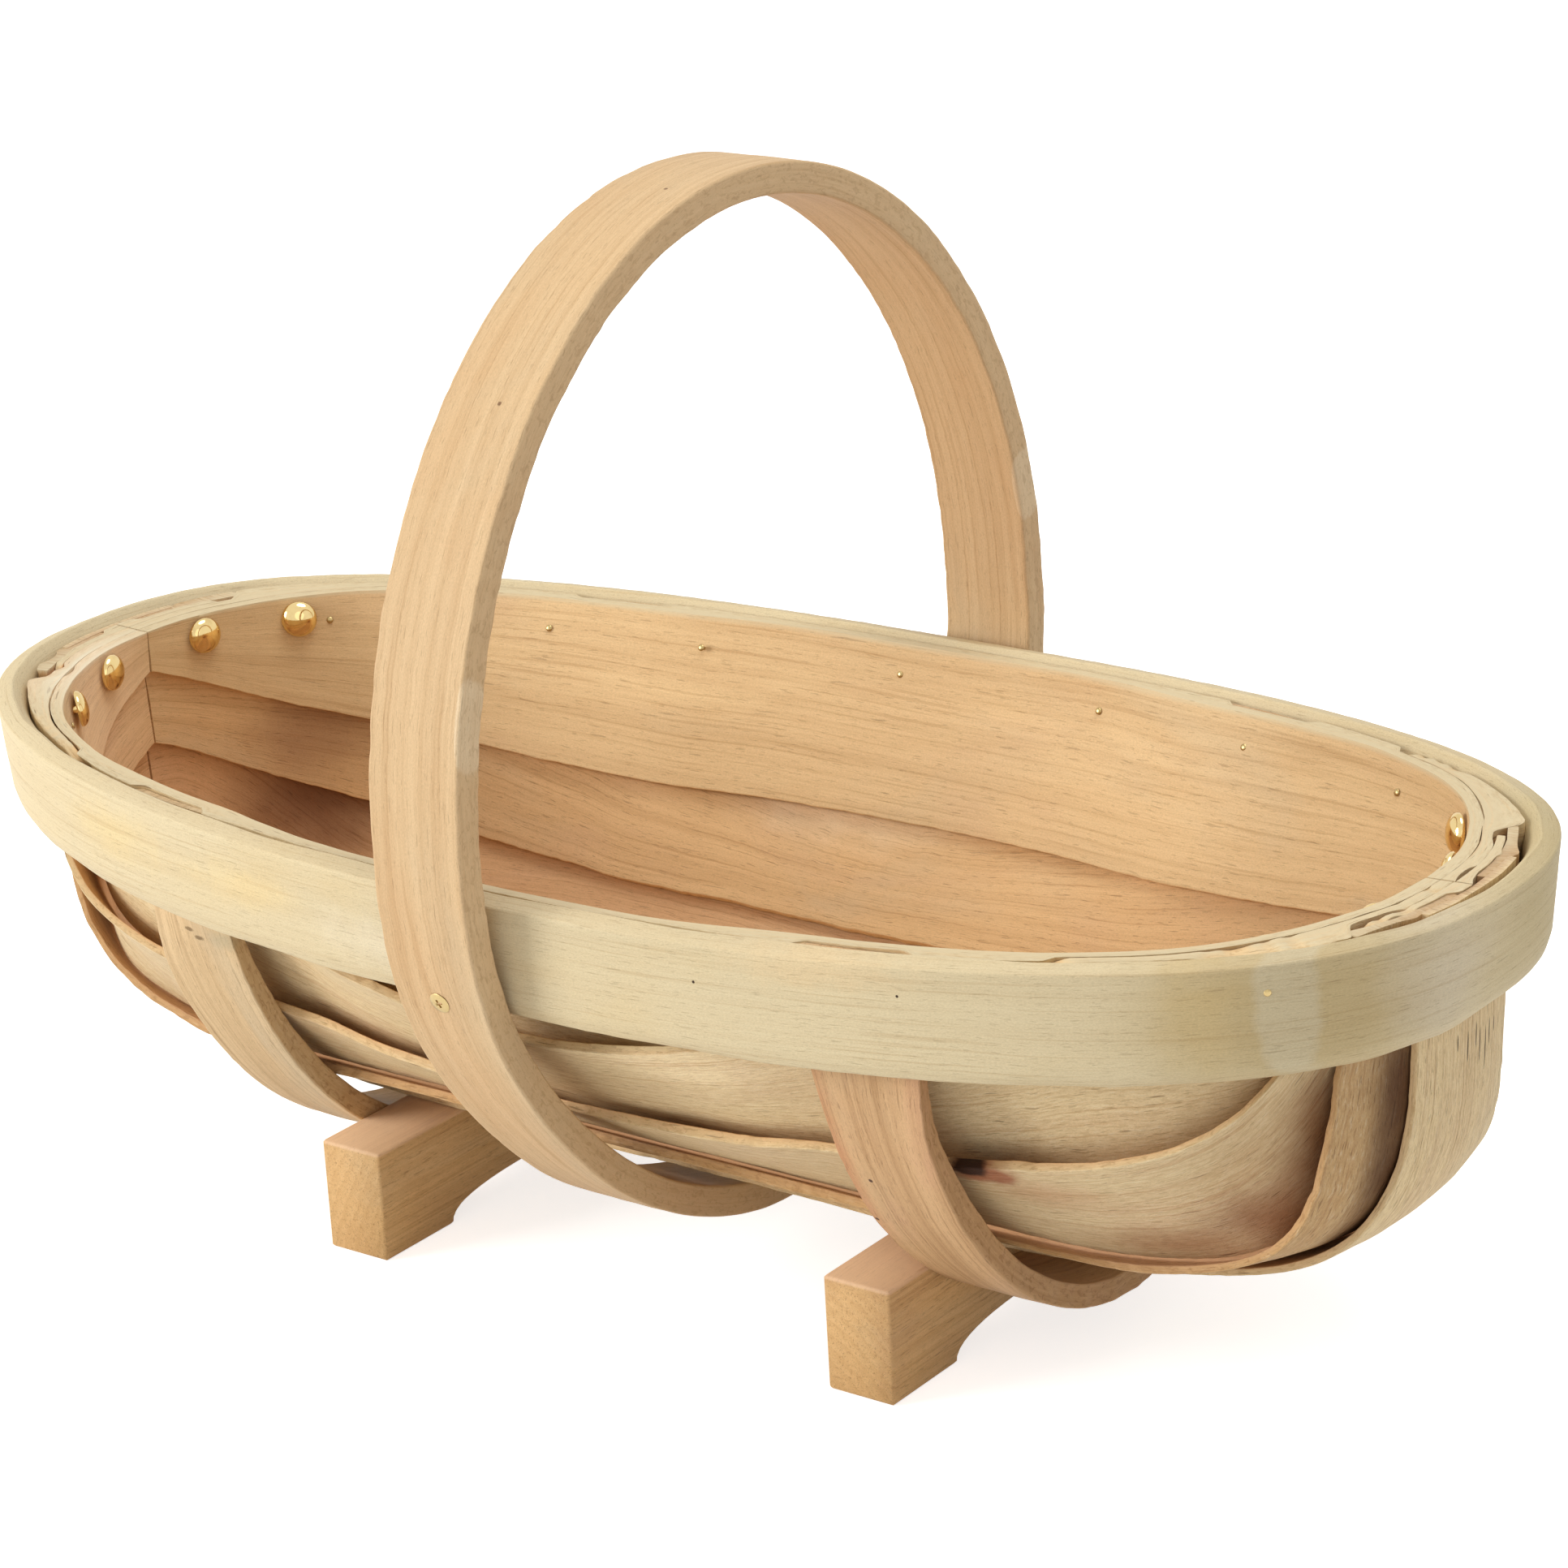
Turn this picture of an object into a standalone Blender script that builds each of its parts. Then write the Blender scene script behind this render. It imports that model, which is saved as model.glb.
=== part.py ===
"""Garden trug: a boat-shaped basket of nine split-wood boards in a bent rim, handle hoop and straps.

Metres, +Z up. X runs along the trug, Y across it, and Z = 0 is the floor under the two feet.
The origin lies on the floor under the middle of the rim.

The boards overlap like a clinker boat's planks. The centre board and the two bilge boards run
lengthwise like a keel and turn up at both ends. The lower, upper and side boards are bands round
each flank, and their near and far halves butt together at the two tips.
"""
import bpy
import bmesh
from math import acos, atan2, copysign, cos, hypot, pi, sin
from mathutils import Matrix, Vector
from mathutils.bvhtree import BVHTree

# Fits
CLEARANCE = 0.0003          # between pieces that touch
BOARD_GAP = 0.0005          # between boards that lie on one another
OVERRUN = 0.0010            # how far a cutter runs past what it cuts

# Rim: a bent band, narrower at its lower edge and rising towards the tips
RIM_LENGTH = 0.5500
RIM_WIDTH = 0.2722
RIM_THICKNESS = 0.0100
RIM_HEIGHT = 0.0346
RIM_TOP = 0.1611            # height of its top edge above the floor at the handle
RIM_SHEER = 0.0067          # how much higher the tips are
RIM_LEAN = 0.0030           # how far the lower edge is drawn in
RIM_ROUNDING = 0.0012
RIM_OVAL = 2.39             # superellipse exponent of its plan

# Handle: one closed hoop outside the rim and under the boards
HANDLE_WIDTH = 0.0333
HANDLE_THICKNESS = 0.0099
HANDLE_TOP = 0.3498         # overall height of the trug
HANDLE_FLOOR_GAP = 0.0175
HANDLE_FLARE = 0.0051       # how far it spreads beyond the rim
HANDLE_SHOULDER = 0.0176    # height of its widest point above the rim
HANDLE_REACH = 0.0300       # length over which it bears on the rim's lower edge
HANDLE_OFFSET = 0.0038
HANDLE_ROUNDING = 0.0014
HANDLE_OVAL_ABOVE = 1.99
HANDLE_OVAL_BELOW = 1.87

# Straps: two open hoops, shaved thin where they pass up inside the rim
STRAP_SPACING = 0.2585
STRAP_WIDTH = 0.0347
STRAP_THICKNESS = 0.0078
STRAP_TIP = 0.0024
STRAP_SHAVED = 0.0900       # length of the shaved part below the rim's top
STRAP_FLOOR_GAP = 0.0137
STRAP_BULGE = 0.0020
STRAP_ROUNDING = 0.0009
STRAP_OVAL = 1.90

# Feet: two blocks across the trug, beside the straps, with an arch underneath
FOOT_LENGTH = 0.1600
FOOT_WIDTH = 0.0242
FOOT_HEIGHT = 0.0377
FOOT_ARCH_SPAN = 0.0920
FOOT_ARCH_RISE = 0.0086
FOOT_ROUNDING = 0.0010
FOOT_ARCH_OVAL = 2.6

# Boards
BOARD_THICKNESS = 0.0030
BOARD_TIP_THICKNESS = 0.0023
KEEL_OVAL = 5.4             # superellipse exponent of the lengthwise profile
CENTRE_WIDTH = 0.0790
CENTRE_TURN_WIDTH = 0.0680  # where it begins to turn up
CENTRE_TIP_WIDTH = 0.0520
BILGE_INNER_EDGE = 0.0350   # distances of a bilge board's edges from the middle plane
BILGE_OUTER_EDGE = 0.0690
BILGE_TIP_INNER_EDGE = 0.0080
BILGE_TURN_OUTER_EDGE = 0.0520
BILGE_TIP_OUTER_EDGE = 0.0480
BILGE_TILT = 0.0150         # how much higher the outer edge lies in the middle
BILGE_TURN_TILT = 0.0045    # and where the board begins to turn up
FLANK_DEPTH = 0.1230        # depth of the hull that the flank boards' top corners follow
FLANK_OVAL = 2.00
TIP_OVAL = 4.50
BUTT_GAP = 0.0006           # between the near and far halves at the tips

# Edges of the flank boards: height above the floor at the middle and at the tips
LOWER_TOP_EDGE = 0.0770
LOWER_TOP_RISE = 0.0300
UPPER_BOTTOM_EDGE = 0.0732
UPPER_BOTTOM_TIP = 0.1260
UPPER_TOP_EDGE = 0.1070
UPPER_TOP_RISE = 0.1000
SIDE_BOTTOM_EDGE = 0.1048
SIDE_BOTTOM_TIP = 0.1520
SEAT_ANGLE = 0.50 * pi      # direction in which the lower board's edge is dropped onto the bilge
SEAT_TIP_ANGLE = 0.27 * pi
SEAT_INSET = 0.0600         # where that direction starts, in from the rim
LOWER_LAP = 0.0050          # how far the lower board's edge lies inside the bilge board's

# Brass fasteners
TACK_HEAD = 0.0125
TACK_DOME = 0.0040
TACK_SHANK = 0.0026
TACK_LENGTH = 0.0150
TACK_DROP = 0.0085          # below the rim's top
TACK_SEAT = 0.0013          # its head bridges a board that curves away under it
TACK_TURN_SHARES = (0.053, 0.159, 0.841, 0.947)     # shares of a half turn along each flank
PIN_HEAD = 0.0024
PIN_DOME = 0.0006
PIN_SHANK = 0.0011
PIN_LENGTH = 0.0100
PIN_DROP = 0.0100
PIN_SEAT = 0.0006
PIN_TURN_SHARES = (0.262, 0.443, 0.511, 0.591, 0.671, 0.815)    # besides the one in the strap
SCREW_HEAD = 0.0070
SCREW_SINK = 0.0024
SCREW_SHANK = 0.0034
SCREW_LENGTH = 0.0175
SCREW_RISE = 0.0065         # above the rim's lower edge

# Numbers of steps
RIM_STEPS = 96
HANDLE_STEPS = 64
FLANK_STEPS = 80
KEEL_STEPS = 42
KEEL_CROWDING_SHARE = 0.20  # how much closer its steps lie at the turned-up ends
ARCH_STEPS = 20
STRAP_STEPS = 36
TACK_STEPS = 12
PIN_STEPS = 6
DOME_STEPS = 3

# Sizes that follow from those above
KEEL = FOOT_HEIGHT + CLEARANCE
HALF_LENGTH = RIM_LENGTH / 2
HALF_WIDTH = RIM_WIDTH / 2
INNER_HALF_LENGTH = HALF_LENGTH - RIM_THICKNESS
INNER_HALF_WIDTH = HALF_WIDTH - RIM_THICKNESS


def start_scene():
    """Empty the scene and return the collection of parts and the collection of cutters."""
    for old in list(bpy.data.objects):
        bpy.data.objects.remove(old, do_unlink=True)
    parts = bpy.data.collections.new("garden_trug")
    cutters = bpy.data.collections.new("garden_trug_cutters")
    for collection in (parts, cutters):
        bpy.context.scene.collection.children.link(collection)
    return parts, cutters


def principled(name, colour, roughness, metallic=0.0):
    """A Principled BSDF material."""
    material = bpy.data.materials.new(name)
    material.use_nodes = True
    shader = material.node_tree.nodes["Principled BSDF"]
    shader.inputs["Base Color"].default_value = (*colour, 1.0)
    shader.inputs["Roughness"].default_value = roughness
    shader.inputs["Metallic"].default_value = metallic
    return material


def add_object(name, data, collection, material=None, matrix=None):
    """Link a new object, with its material and place."""
    made = bpy.data.objects.new(name, data)
    collection.objects.link(made)
    if material and not data.materials:
        data.materials.append(material)
    if matrix:
        made.matrix_world = matrix
    return made


def mix(low, high, share):
    return low + (high - low) * share


def smooth(low, high, value):
    """0 below low, 1 above high and an even S between them."""
    share = min(1.0, max(0.0, (value - low) / (high - low)))
    return share * share * (3 - 2 * share)


def power(value, exponent):
    """A power that keeps the sign, for superellipses."""
    return copysign(abs(value) ** exponent, value)


def oval(angle, half_x, half_y, exponent):
    """A point of a superellipse."""
    return half_x * power(cos(angle), 2 / exponent), half_y * power(sin(angle), 2 / exponent)


def rim_top(x):
    """Height of the rim's top edge at a place along the trug."""
    return RIM_TOP + RIM_SHEER * (x / HALF_LENGTH) ** 2


def rim_inside(along, half_along, half_across):
    """How far the rim's inner face lies from the middle, across one axis, at a place on the other."""
    share = min(1.0, abs(along) / half_along)
    return half_across * (1 - share ** RIM_OVAL) ** (1 / RIM_OVAL)


def rim_lean(below_top):
    """How far the rim's face has come inward at a depth below its top edge."""
    return RIM_LEAN * min(1.0, below_top / RIM_HEIGHT)


class Plane:
    """The upright plane across the rim at one angle of its plan, where flank boards are drawn.

    A place in it is (depth inward from the rim's inner face, height above the floor).
    """

    def __init__(self, angle, side):
        x, y = oval(angle, HALF_LENGTH, HALF_WIDTH, RIM_OVAL)
        out_x = power(x / HALF_LENGTH, RIM_OVAL - 1) / HALF_LENGTH
        out_y = power(y / HALF_WIDTH, RIM_OVAL - 1) / HALF_WIDTH
        size = hypot(out_x, out_y)
        self.out = Vector((out_x / size, side * out_y / size, 0.0))
        self.foot = Vector((x, side * y, 0.0)) - self.out * RIM_THICKNESS
        self.top = rim_top(x)
        self.along = abs(x) / HALF_LENGTH
        self.tip = 1 - y / HALF_WIDTH

    def place(self, depth, height):
        return self.foot - self.out * depth + Vector((0.0, 0.0, height))


def board_thickness(along):
    """Boards are shaved thinner towards the tips."""
    return mix(BOARD_THICKNESS, BOARD_TIP_THICKNESS, smooth(0.45, 0.95, along))


def loft_faces(loops, closed=False):
    """Points and faces of a skin over rings of points, capped unless the rings close on themselves."""
    count = len(loops[0])
    points = [point for loop in loops for point in loop]
    faces = []
    rings = len(loops) if closed else len(loops) - 1
    for ring in range(rings):
        here = ring * count
        there = (ring + 1) % len(loops) * count
        for step in range(count):
            after = (step + 1) % count
            faces.append((here + step, here + after, there + after, there + step))
    if not closed:
        faces.append(tuple(range(count)))
        faces.append(tuple(reversed(range(len(points) - count, len(points)))))
    return points, faces


def loft(name, loops, collection, material, closed=False):
    """An object skinned over rings of points."""
    points, faces = loft_faces(loops, closed)
    mesh = bpy.data.meshes.new(name)
    mesh.from_pydata([tuple(point) for point in points], [], faces)
    shape = bmesh.new()
    shape.from_mesh(mesh)
    bmesh.ops.recalc_face_normals(shape, faces=shape.faces)
    shape.to_mesh(mesh)
    shape.free()
    return add_object(name, mesh, collection, material)


def soften(item, width):
    """Rounded long edges."""
    bevel = item.modifiers.new("rounding", "BEVEL")
    bevel.width = width
    bevel.segments = 1
    bevel.limit_method = "ANGLE"
    bevel.angle_limit = pi / 4
    return bevel


def bent_band(name, path, section, collection, material):
    """A closed hoop: a flat path swept with a section, as one clean mesh.

    The section's x runs across the path, inwards, and its y runs along the hoop's width.
    """
    profile = bpy.data.curves.new(name + "_section", "CURVE")
    profile.dimensions = "2D"
    profile.fill_mode = "NONE"
    add_spline(profile, section)
    guide = add_object(name + "_section", profile, collection)
    curve = bpy.data.curves.new(name + "_path", "CURVE")
    curve.dimensions = "2D"
    curve.fill_mode = "NONE"
    curve.bevel_mode = "OBJECT"
    curve.bevel_object = guide
    add_spline(curve, path)
    swept = add_object(name + "_path", curve, collection)
    bpy.context.view_layer.update()
    ready = swept.evaluated_get(bpy.context.evaluated_depsgraph_get())
    mesh = bpy.data.meshes.new_from_object(ready)
    for used in (swept, guide):
        bpy.data.objects.remove(used, do_unlink=True)
    mesh.name = name
    shape = bmesh.new()
    shape.from_mesh(mesh)
    bmesh.ops.remove_doubles(shape, verts=shape.verts, dist=CLEARANCE / 10)
    bmesh.ops.recalc_face_normals(shape, faces=shape.faces)
    shape.to_mesh(mesh)
    shape.free()
    mesh.materials.clear()
    return add_object(name, mesh, collection, material)


def add_spline(curve, points):
    """A closed straight-sided spline through flat points."""
    spline = curve.splines.new("POLY")
    spline.points.add(len(points) - 1)
    for slot, (x, y) in zip(spline.points, points):
        slot.co = (x, y, 0.0, 1.0)
    spline.use_cyclic_u = True


def band_section(width, thickness, rounding, lean=0.0):
    """A rounded rectangle whose inner face is at 0, with its lower end moved inward by a lean."""
    section = []
    for y_side, x_side in ((-1, 0), (-1, 1), (1, 1), (1, 0)):
        x = thickness * x_side
        y = width / 2 * y_side
        inward = rounding * (1 - 2 * x_side)
        first = (x + inward, y)
        second = (x, y - rounding * y_side)
        section += [first, second] if x_side == (1 if y_side < 0 else 0) else [second, first]
    return [(lean * (0.5 - y / width) - x, y) for x, y in section]


def make_rim(parts, material):
    """The rim, swept round its plan and then lifted towards the tips."""
    path = []
    for step in range(RIM_STEPS):
        plane = Plane(2 * pi * step / RIM_STEPS, 1)
        path.append((plane.foot.x, plane.foot.y))
    section = band_section(RIM_HEIGHT, RIM_THICKNESS, RIM_ROUNDING, RIM_LEAN)
    rim = bent_band("rim", path, section, parts, material)
    for vertex in rim.data.vertices:
        vertex.co.z += rim_top(vertex.co.x) - RIM_HEIGHT / 2
    return rim


def handle_inside(angle):
    """A point (y, z) of the handle's inner face, from its widest point at angle 0 anticlockwise."""
    shoulder = RIM_TOP + HANDLE_SHOULDER
    half_width = HALF_WIDTH + CLEARANCE + HANDLE_FLARE
    above = HANDLE_TOP - HANDLE_THICKNESS - shoulder
    below = shoulder - HANDLE_FLOOR_GAP - HANDLE_THICKNESS
    rising = sin(angle) >= 0
    exponent = HANDLE_OVAL_ABOVE if rising else HANDLE_OVAL_BELOW
    y, z = oval(angle, half_width, above if rising else below, exponent)
    lower_edge = RIM_TOP - RIM_HEIGHT
    drop = (shoulder - lower_edge) / below
    free = half_width * (1 - drop ** HANDLE_OVAL_BELOW) ** (1 / HANDLE_OVAL_BELOW)
    bearing = max(0.0, HALF_WIDTH - RIM_LEAN + 2 * CLEARANCE - free)
    away = (z + shoulder - lower_edge) / HANDLE_REACH
    y += copysign(bearing * 2 ** (-away * away), y) if not rising else 0.0
    return y, z + shoulder


def make_handle(parts, material):
    """The handle hoop, drawn flat and then stood up across the trug."""
    path = [handle_inside(2 * pi * step / HANDLE_STEPS) for step in range(HANDLE_STEPS)]
    section = band_section(HANDLE_WIDTH, HANDLE_THICKNESS, HANDLE_ROUNDING)
    handle = bent_band("handle", path, section, parts, material)
    upright = Matrix.Rotation(pi / 2, 4, "Z") @ Matrix.Rotation(pi / 2, 4, "X")
    handle.matrix_world = Matrix.Translation((HANDLE_OFFSET, 0.0, 0.0)) @ upright
    return handle


def strap_outside(x, angle):
    """A point (y, z) of a strap's outer face: a half hoop that stays inside the rim."""
    inside = rim_inside(x, INNER_HALF_LENGTH, INNER_HALF_WIDTH)
    top = rim_top(x)
    middle = rim_inside(STRAP_SPACING / 2, INNER_HALF_LENGTH, INNER_HALF_WIDTH)
    y, drop = oval(angle, middle + STRAP_BULGE, top - STRAP_FLOOR_GAP, STRAP_OVAL)
    limit = inside - BOARD_GAP - rim_lean(drop)
    return copysign(min(abs(y), limit), y), top - drop


def make_strap(name, x, parts, material):
    """A strap: a loft of flat sections that thin towards both ends."""
    loops = []
    for step in range(STRAP_STEPS + 1):
        angle = pi * step / STRAP_STEPS
        outer = []
        inner = []
        for edge in (-STRAP_WIDTH / 2, 0.0, STRAP_WIDTH / 2):
            y, z = strap_outside(x + edge, angle)
            y_before, z_before = strap_outside(x + edge, max(0.0, angle - pi / STRAP_STEPS))
            y_after, z_after = strap_outside(x + edge, min(pi, angle + pi / STRAP_STEPS))
            slope = Vector((y_after - y_before, z_after - z_before)).normalized()
            thick = strap_shaving(rim_top(x + edge) - z)
            flush = 0.0 if step in (0, STRAP_STEPS) else 1.0
            outer.append(Vector((x + edge, y, z)))
            inner.append(Vector((x + edge, y + slope.y * thick, z - slope.x * thick * flush)))
        loops.append(outer + inner[::-1])
    strap = loft(name, loops, parts, material)
    soften(strap, STRAP_ROUNDING)
    return strap


def make_foot(name, x, parts, material):
    """A foot: its side outline, arched underneath, extruded along the trug."""
    half = FOOT_LENGTH / 2
    arch = []
    for step in range(ARCH_STEPS + 1):
        y, z = oval(pi * step / ARCH_STEPS, FOOT_ARCH_SPAN / 2, FOOT_ARCH_RISE, FOOT_ARCH_OVAL)
        arch.append((y, max(0.0, z)))
    outline = [(-half, 0.0), (-half, FOOT_HEIGHT), (half, FOOT_HEIGHT), (half, 0.0)] + arch
    curve = bpy.data.curves.new(name, "CURVE")
    curve.dimensions = "2D"
    curve.fill_mode = "BOTH"
    curve.extrude = FOOT_WIDTH / 2
    add_spline(curve, outline)
    drawn = add_object(name + "_outline", curve, parts)
    bpy.context.view_layer.update()
    ready = drawn.evaluated_get(bpy.context.evaluated_depsgraph_get())
    mesh = bpy.data.meshes.new_from_object(ready)
    bpy.data.objects.remove(drawn, do_unlink=True)
    shape = bmesh.new()
    shape.from_mesh(mesh)
    bmesh.ops.remove_doubles(shape, verts=shape.verts, dist=CLEARANCE / 10)
    bmesh.ops.dissolve_limit(shape, angle_limit=pi / 360, verts=shape.verts, edges=shape.edges)
    bmesh.ops.recalc_face_normals(shape, faces=shape.faces)
    shape.to_mesh(mesh)
    shape.free()
    mesh.materials.clear()
    upright = Matrix.Rotation(pi / 2, 4, "Z") @ Matrix.Rotation(pi / 2, 4, "X")
    foot = add_object(name, mesh, parts, material, Matrix.Translation((x, 0.0, 0.0)) @ upright)
    soften(foot, FOOT_ROUNDING)
    return foot


def keel_angle(step):
    """Angles along the lengthwise profile, closer together at the turned-up ends."""
    share = step / KEEL_STEPS
    return pi * share - KEEL_CROWDING_SHARE * sin(2 * pi * share)


def keel_turn(angle):
    """Shares of the hull's length and of its depth at an angle of the lengthwise profile."""
    along, drop = oval(angle, 1.0, 1.0, KEEL_OVAL)
    return abs(along), drop


def keel_place(angle, y, inset, lift):
    """A place on the lengthwise hull under the rim, at a distance y from the middle plane."""
    end = rim_inside(y, INNER_HALF_WIDTH, INNER_HALF_LENGTH) - BOARD_GAP - inset
    top = rim_top(end)
    along, drop = keel_turn(angle)
    along = copysign(along, cos(angle))
    below = (top - KEEL - inset) * drop
    x = (end - rim_lean(below)) * along
    return Vector((x, y, top - below + lift * drop ** 4))


def keel_board(name, columns, inset, tilt, parts, material):
    """A board along the keel: an outer face of lengthwise lines and an inner face off it.

    columns gives the board's distances from the middle plane, and tilt how much higher its outer
    edge lies, for shares of the hull's length and depth.
    """
    rows = []
    for step in range(KEEL_STEPS + 1):
        angle = keel_angle(step)
        along, drop = keel_turn(angle)
        places = columns(along, drop)
        width = places[-1] - places[0]
        row = []
        for y in places:
            lift = tilt(along) * (y - places[0]) / width
            row.append(keel_place(angle, y, inset(along), lift))
        rows.append(row)
    loops = []
    for number, row in enumerate(rows):
        before = rows[max(0, number - 1)]
        after = rows[min(KEEL_STEPS, number + 1)]
        thick = board_thickness(abs(row[0].x) / INNER_HALF_LENGTH)
        inner = []
        for place, point in enumerate(row):
            across = row[min(len(row) - 1, place + 1)] - row[max(0, place - 1)]
            inward = (after[place] - before[place]).cross(across).normalized()
            if inward.dot(Vector((0.0, 0.0, RIM_TOP)) - point) < 0:
                inward.negate()
            moved = point + inward * thick
            if number in (0, KEEL_STEPS):
                moved.z = point.z
            inner.append(moved)
        loops.append(row + inner[::-1])
    return loops, loft(name, loops, parts, material)


def centre_columns(along, drop):
    """The centre board narrows a little along its length, and more where it turns up."""
    half = mix(CENTRE_WIDTH, CENTRE_TURN_WIDTH, smooth(0.45, 0.80, along)) / 2
    half -= (CENTRE_TURN_WIDTH - CENTRE_TIP_WIDTH) / 2 * (1 - smooth(0.40, 0.90, drop))
    count = 4
    return [half * (2 * step / count - 1) for step in range(count + 1)]


def bilge_columns(along, drop, side):
    """The bilge boards draw in towards the middle plane as they turn up."""
    inner = mix(BILGE_INNER_EDGE, BILGE_TIP_INNER_EDGE, smooth(0.45, 0.95, along))
    outer = mix(BILGE_OUTER_EDGE, BILGE_TURN_OUTER_EDGE, smooth(0.42, 0.85, along))
    outer -= (BILGE_TURN_OUTER_EDGE - BILGE_TIP_OUTER_EDGE) * (1 - smooth(0.30, 0.60, drop))
    count = 4
    return [side * mix(inner, outer, step / count) for step in range(count + 1)]


def bilge_tilt(along):
    return mix(BILGE_TILT, BILGE_TURN_TILT, smooth(0.45, 0.75, along))


def bilge_inset(along):
    return board_thickness(along) + BOARD_GAP


def hull_depth(plane, height):
    """How far in from the rim the hull lies at a height, where top corners of flank boards go."""
    share = plane.along ** 4
    radius = mix(INNER_HALF_WIDTH, INNER_HALF_LENGTH, share)
    exponent = mix(FLANK_OVAL, TIP_OVAL, share)
    drop = min(1.0, max(0.0, (plane.top - height) / FLANK_DEPTH))
    return BOARD_GAP + radius * (1 - (1 - drop ** exponent) ** (1 / exponent))


def offset_in(low, high, thick):
    """The inner corners of a straight board section with these outer corners."""
    lean = Vector((high[0] - low[0], high[1] - low[1])).normalized()
    across = Vector((lean.y, -lean.x)) * thick
    return (low[0] + across.x, low[1] + across.y), (high[0] + across.x, high[1] + across.y)


def on_line(low, high, height):
    """The depth of a section line at a height."""
    return mix(low[0], high[0], (height - low[1]) / (high[1] - low[1]))


def clear_of(low, high, corner, gap):
    """Move a section's top corner inward until the section clears the corner of the board outside."""
    if high[1] <= corner[1]:
        return max(high[0], corner[0] + gap), high[1]
    if low[1] >= corner[1]:
        return high
    share = (high[1] - corner[1]) / (high[1] - low[1])
    needed = (corner[0] + gap - low[0] * share) / (1 - share)
    return max(high[0], needed), high[1]


def trimmed(low, high, top):
    """A section line whose upper end stops at the rim's top."""
    if high[1] <= top:
        return high
    return on_line(low, high, top), top


def stand_off(plane):
    """How far the lower, upper and side boards' tops stand off the rim for what lies outside them."""
    pitch = board_thickness(plane.along) + BOARD_GAP
    outside = abs(plane.foot.y) / INNER_HALF_WIDTH
    lower = 2 * pitch * (1 - smooth(0.40, 0.72, outside))
    upper = lower + pitch * (1 - smooth(0.48, 0.80, outside))
    side = upper + pitch * smooth(0.55, 0.80, plane.along)
    return lower, upper, side


def strap_shaving(below_top):
    """A strap's thickness at a depth below the rim's top."""
    return mix(STRAP_TIP, STRAP_THICKNESS, min(1.0, below_top / STRAP_SHAVED))


def off_strap(plane, depth, height):
    """Move a board's corner inward to lie inside the strap, fading out beside the strap."""
    beside = abs(abs(plane.foot.x) - STRAP_SPACING / 2) - STRAP_WIDTH / 2
    weight = 1 - smooth(STRAP_WIDTH / 5, STRAP_WIDTH, beside)
    if weight == 0.0:
        return depth
    inside = rim_inside(plane.foot.x, INNER_HALF_LENGTH, INNER_HALF_WIDTH)
    half = rim_inside(STRAP_SPACING / 2, INNER_HALF_LENGTH, INNER_HALF_WIDTH) + STRAP_BULGE
    deep = plane.top - STRAP_FLOOR_GAP
    drop = (plane.top - height) / deep
    y = half * (1 - drop ** STRAP_OVAL) ** (1 / STRAP_OVAL)
    level = hypot(1.0, (drop * deep) ** (STRAP_OVAL - 1) / deep ** STRAP_OVAL
                  * half ** STRAP_OVAL / y ** (STRAP_OVAL - 1))
    y = min(y, inside - BOARD_GAP - rim_lean(plane.top - height))
    y -= strap_shaving(plane.top - height) * level + 2 * BOARD_GAP
    room = (abs(plane.foot.y) - y) / abs(plane.out.y)
    return max(depth, mix(depth, room, weight))


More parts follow.
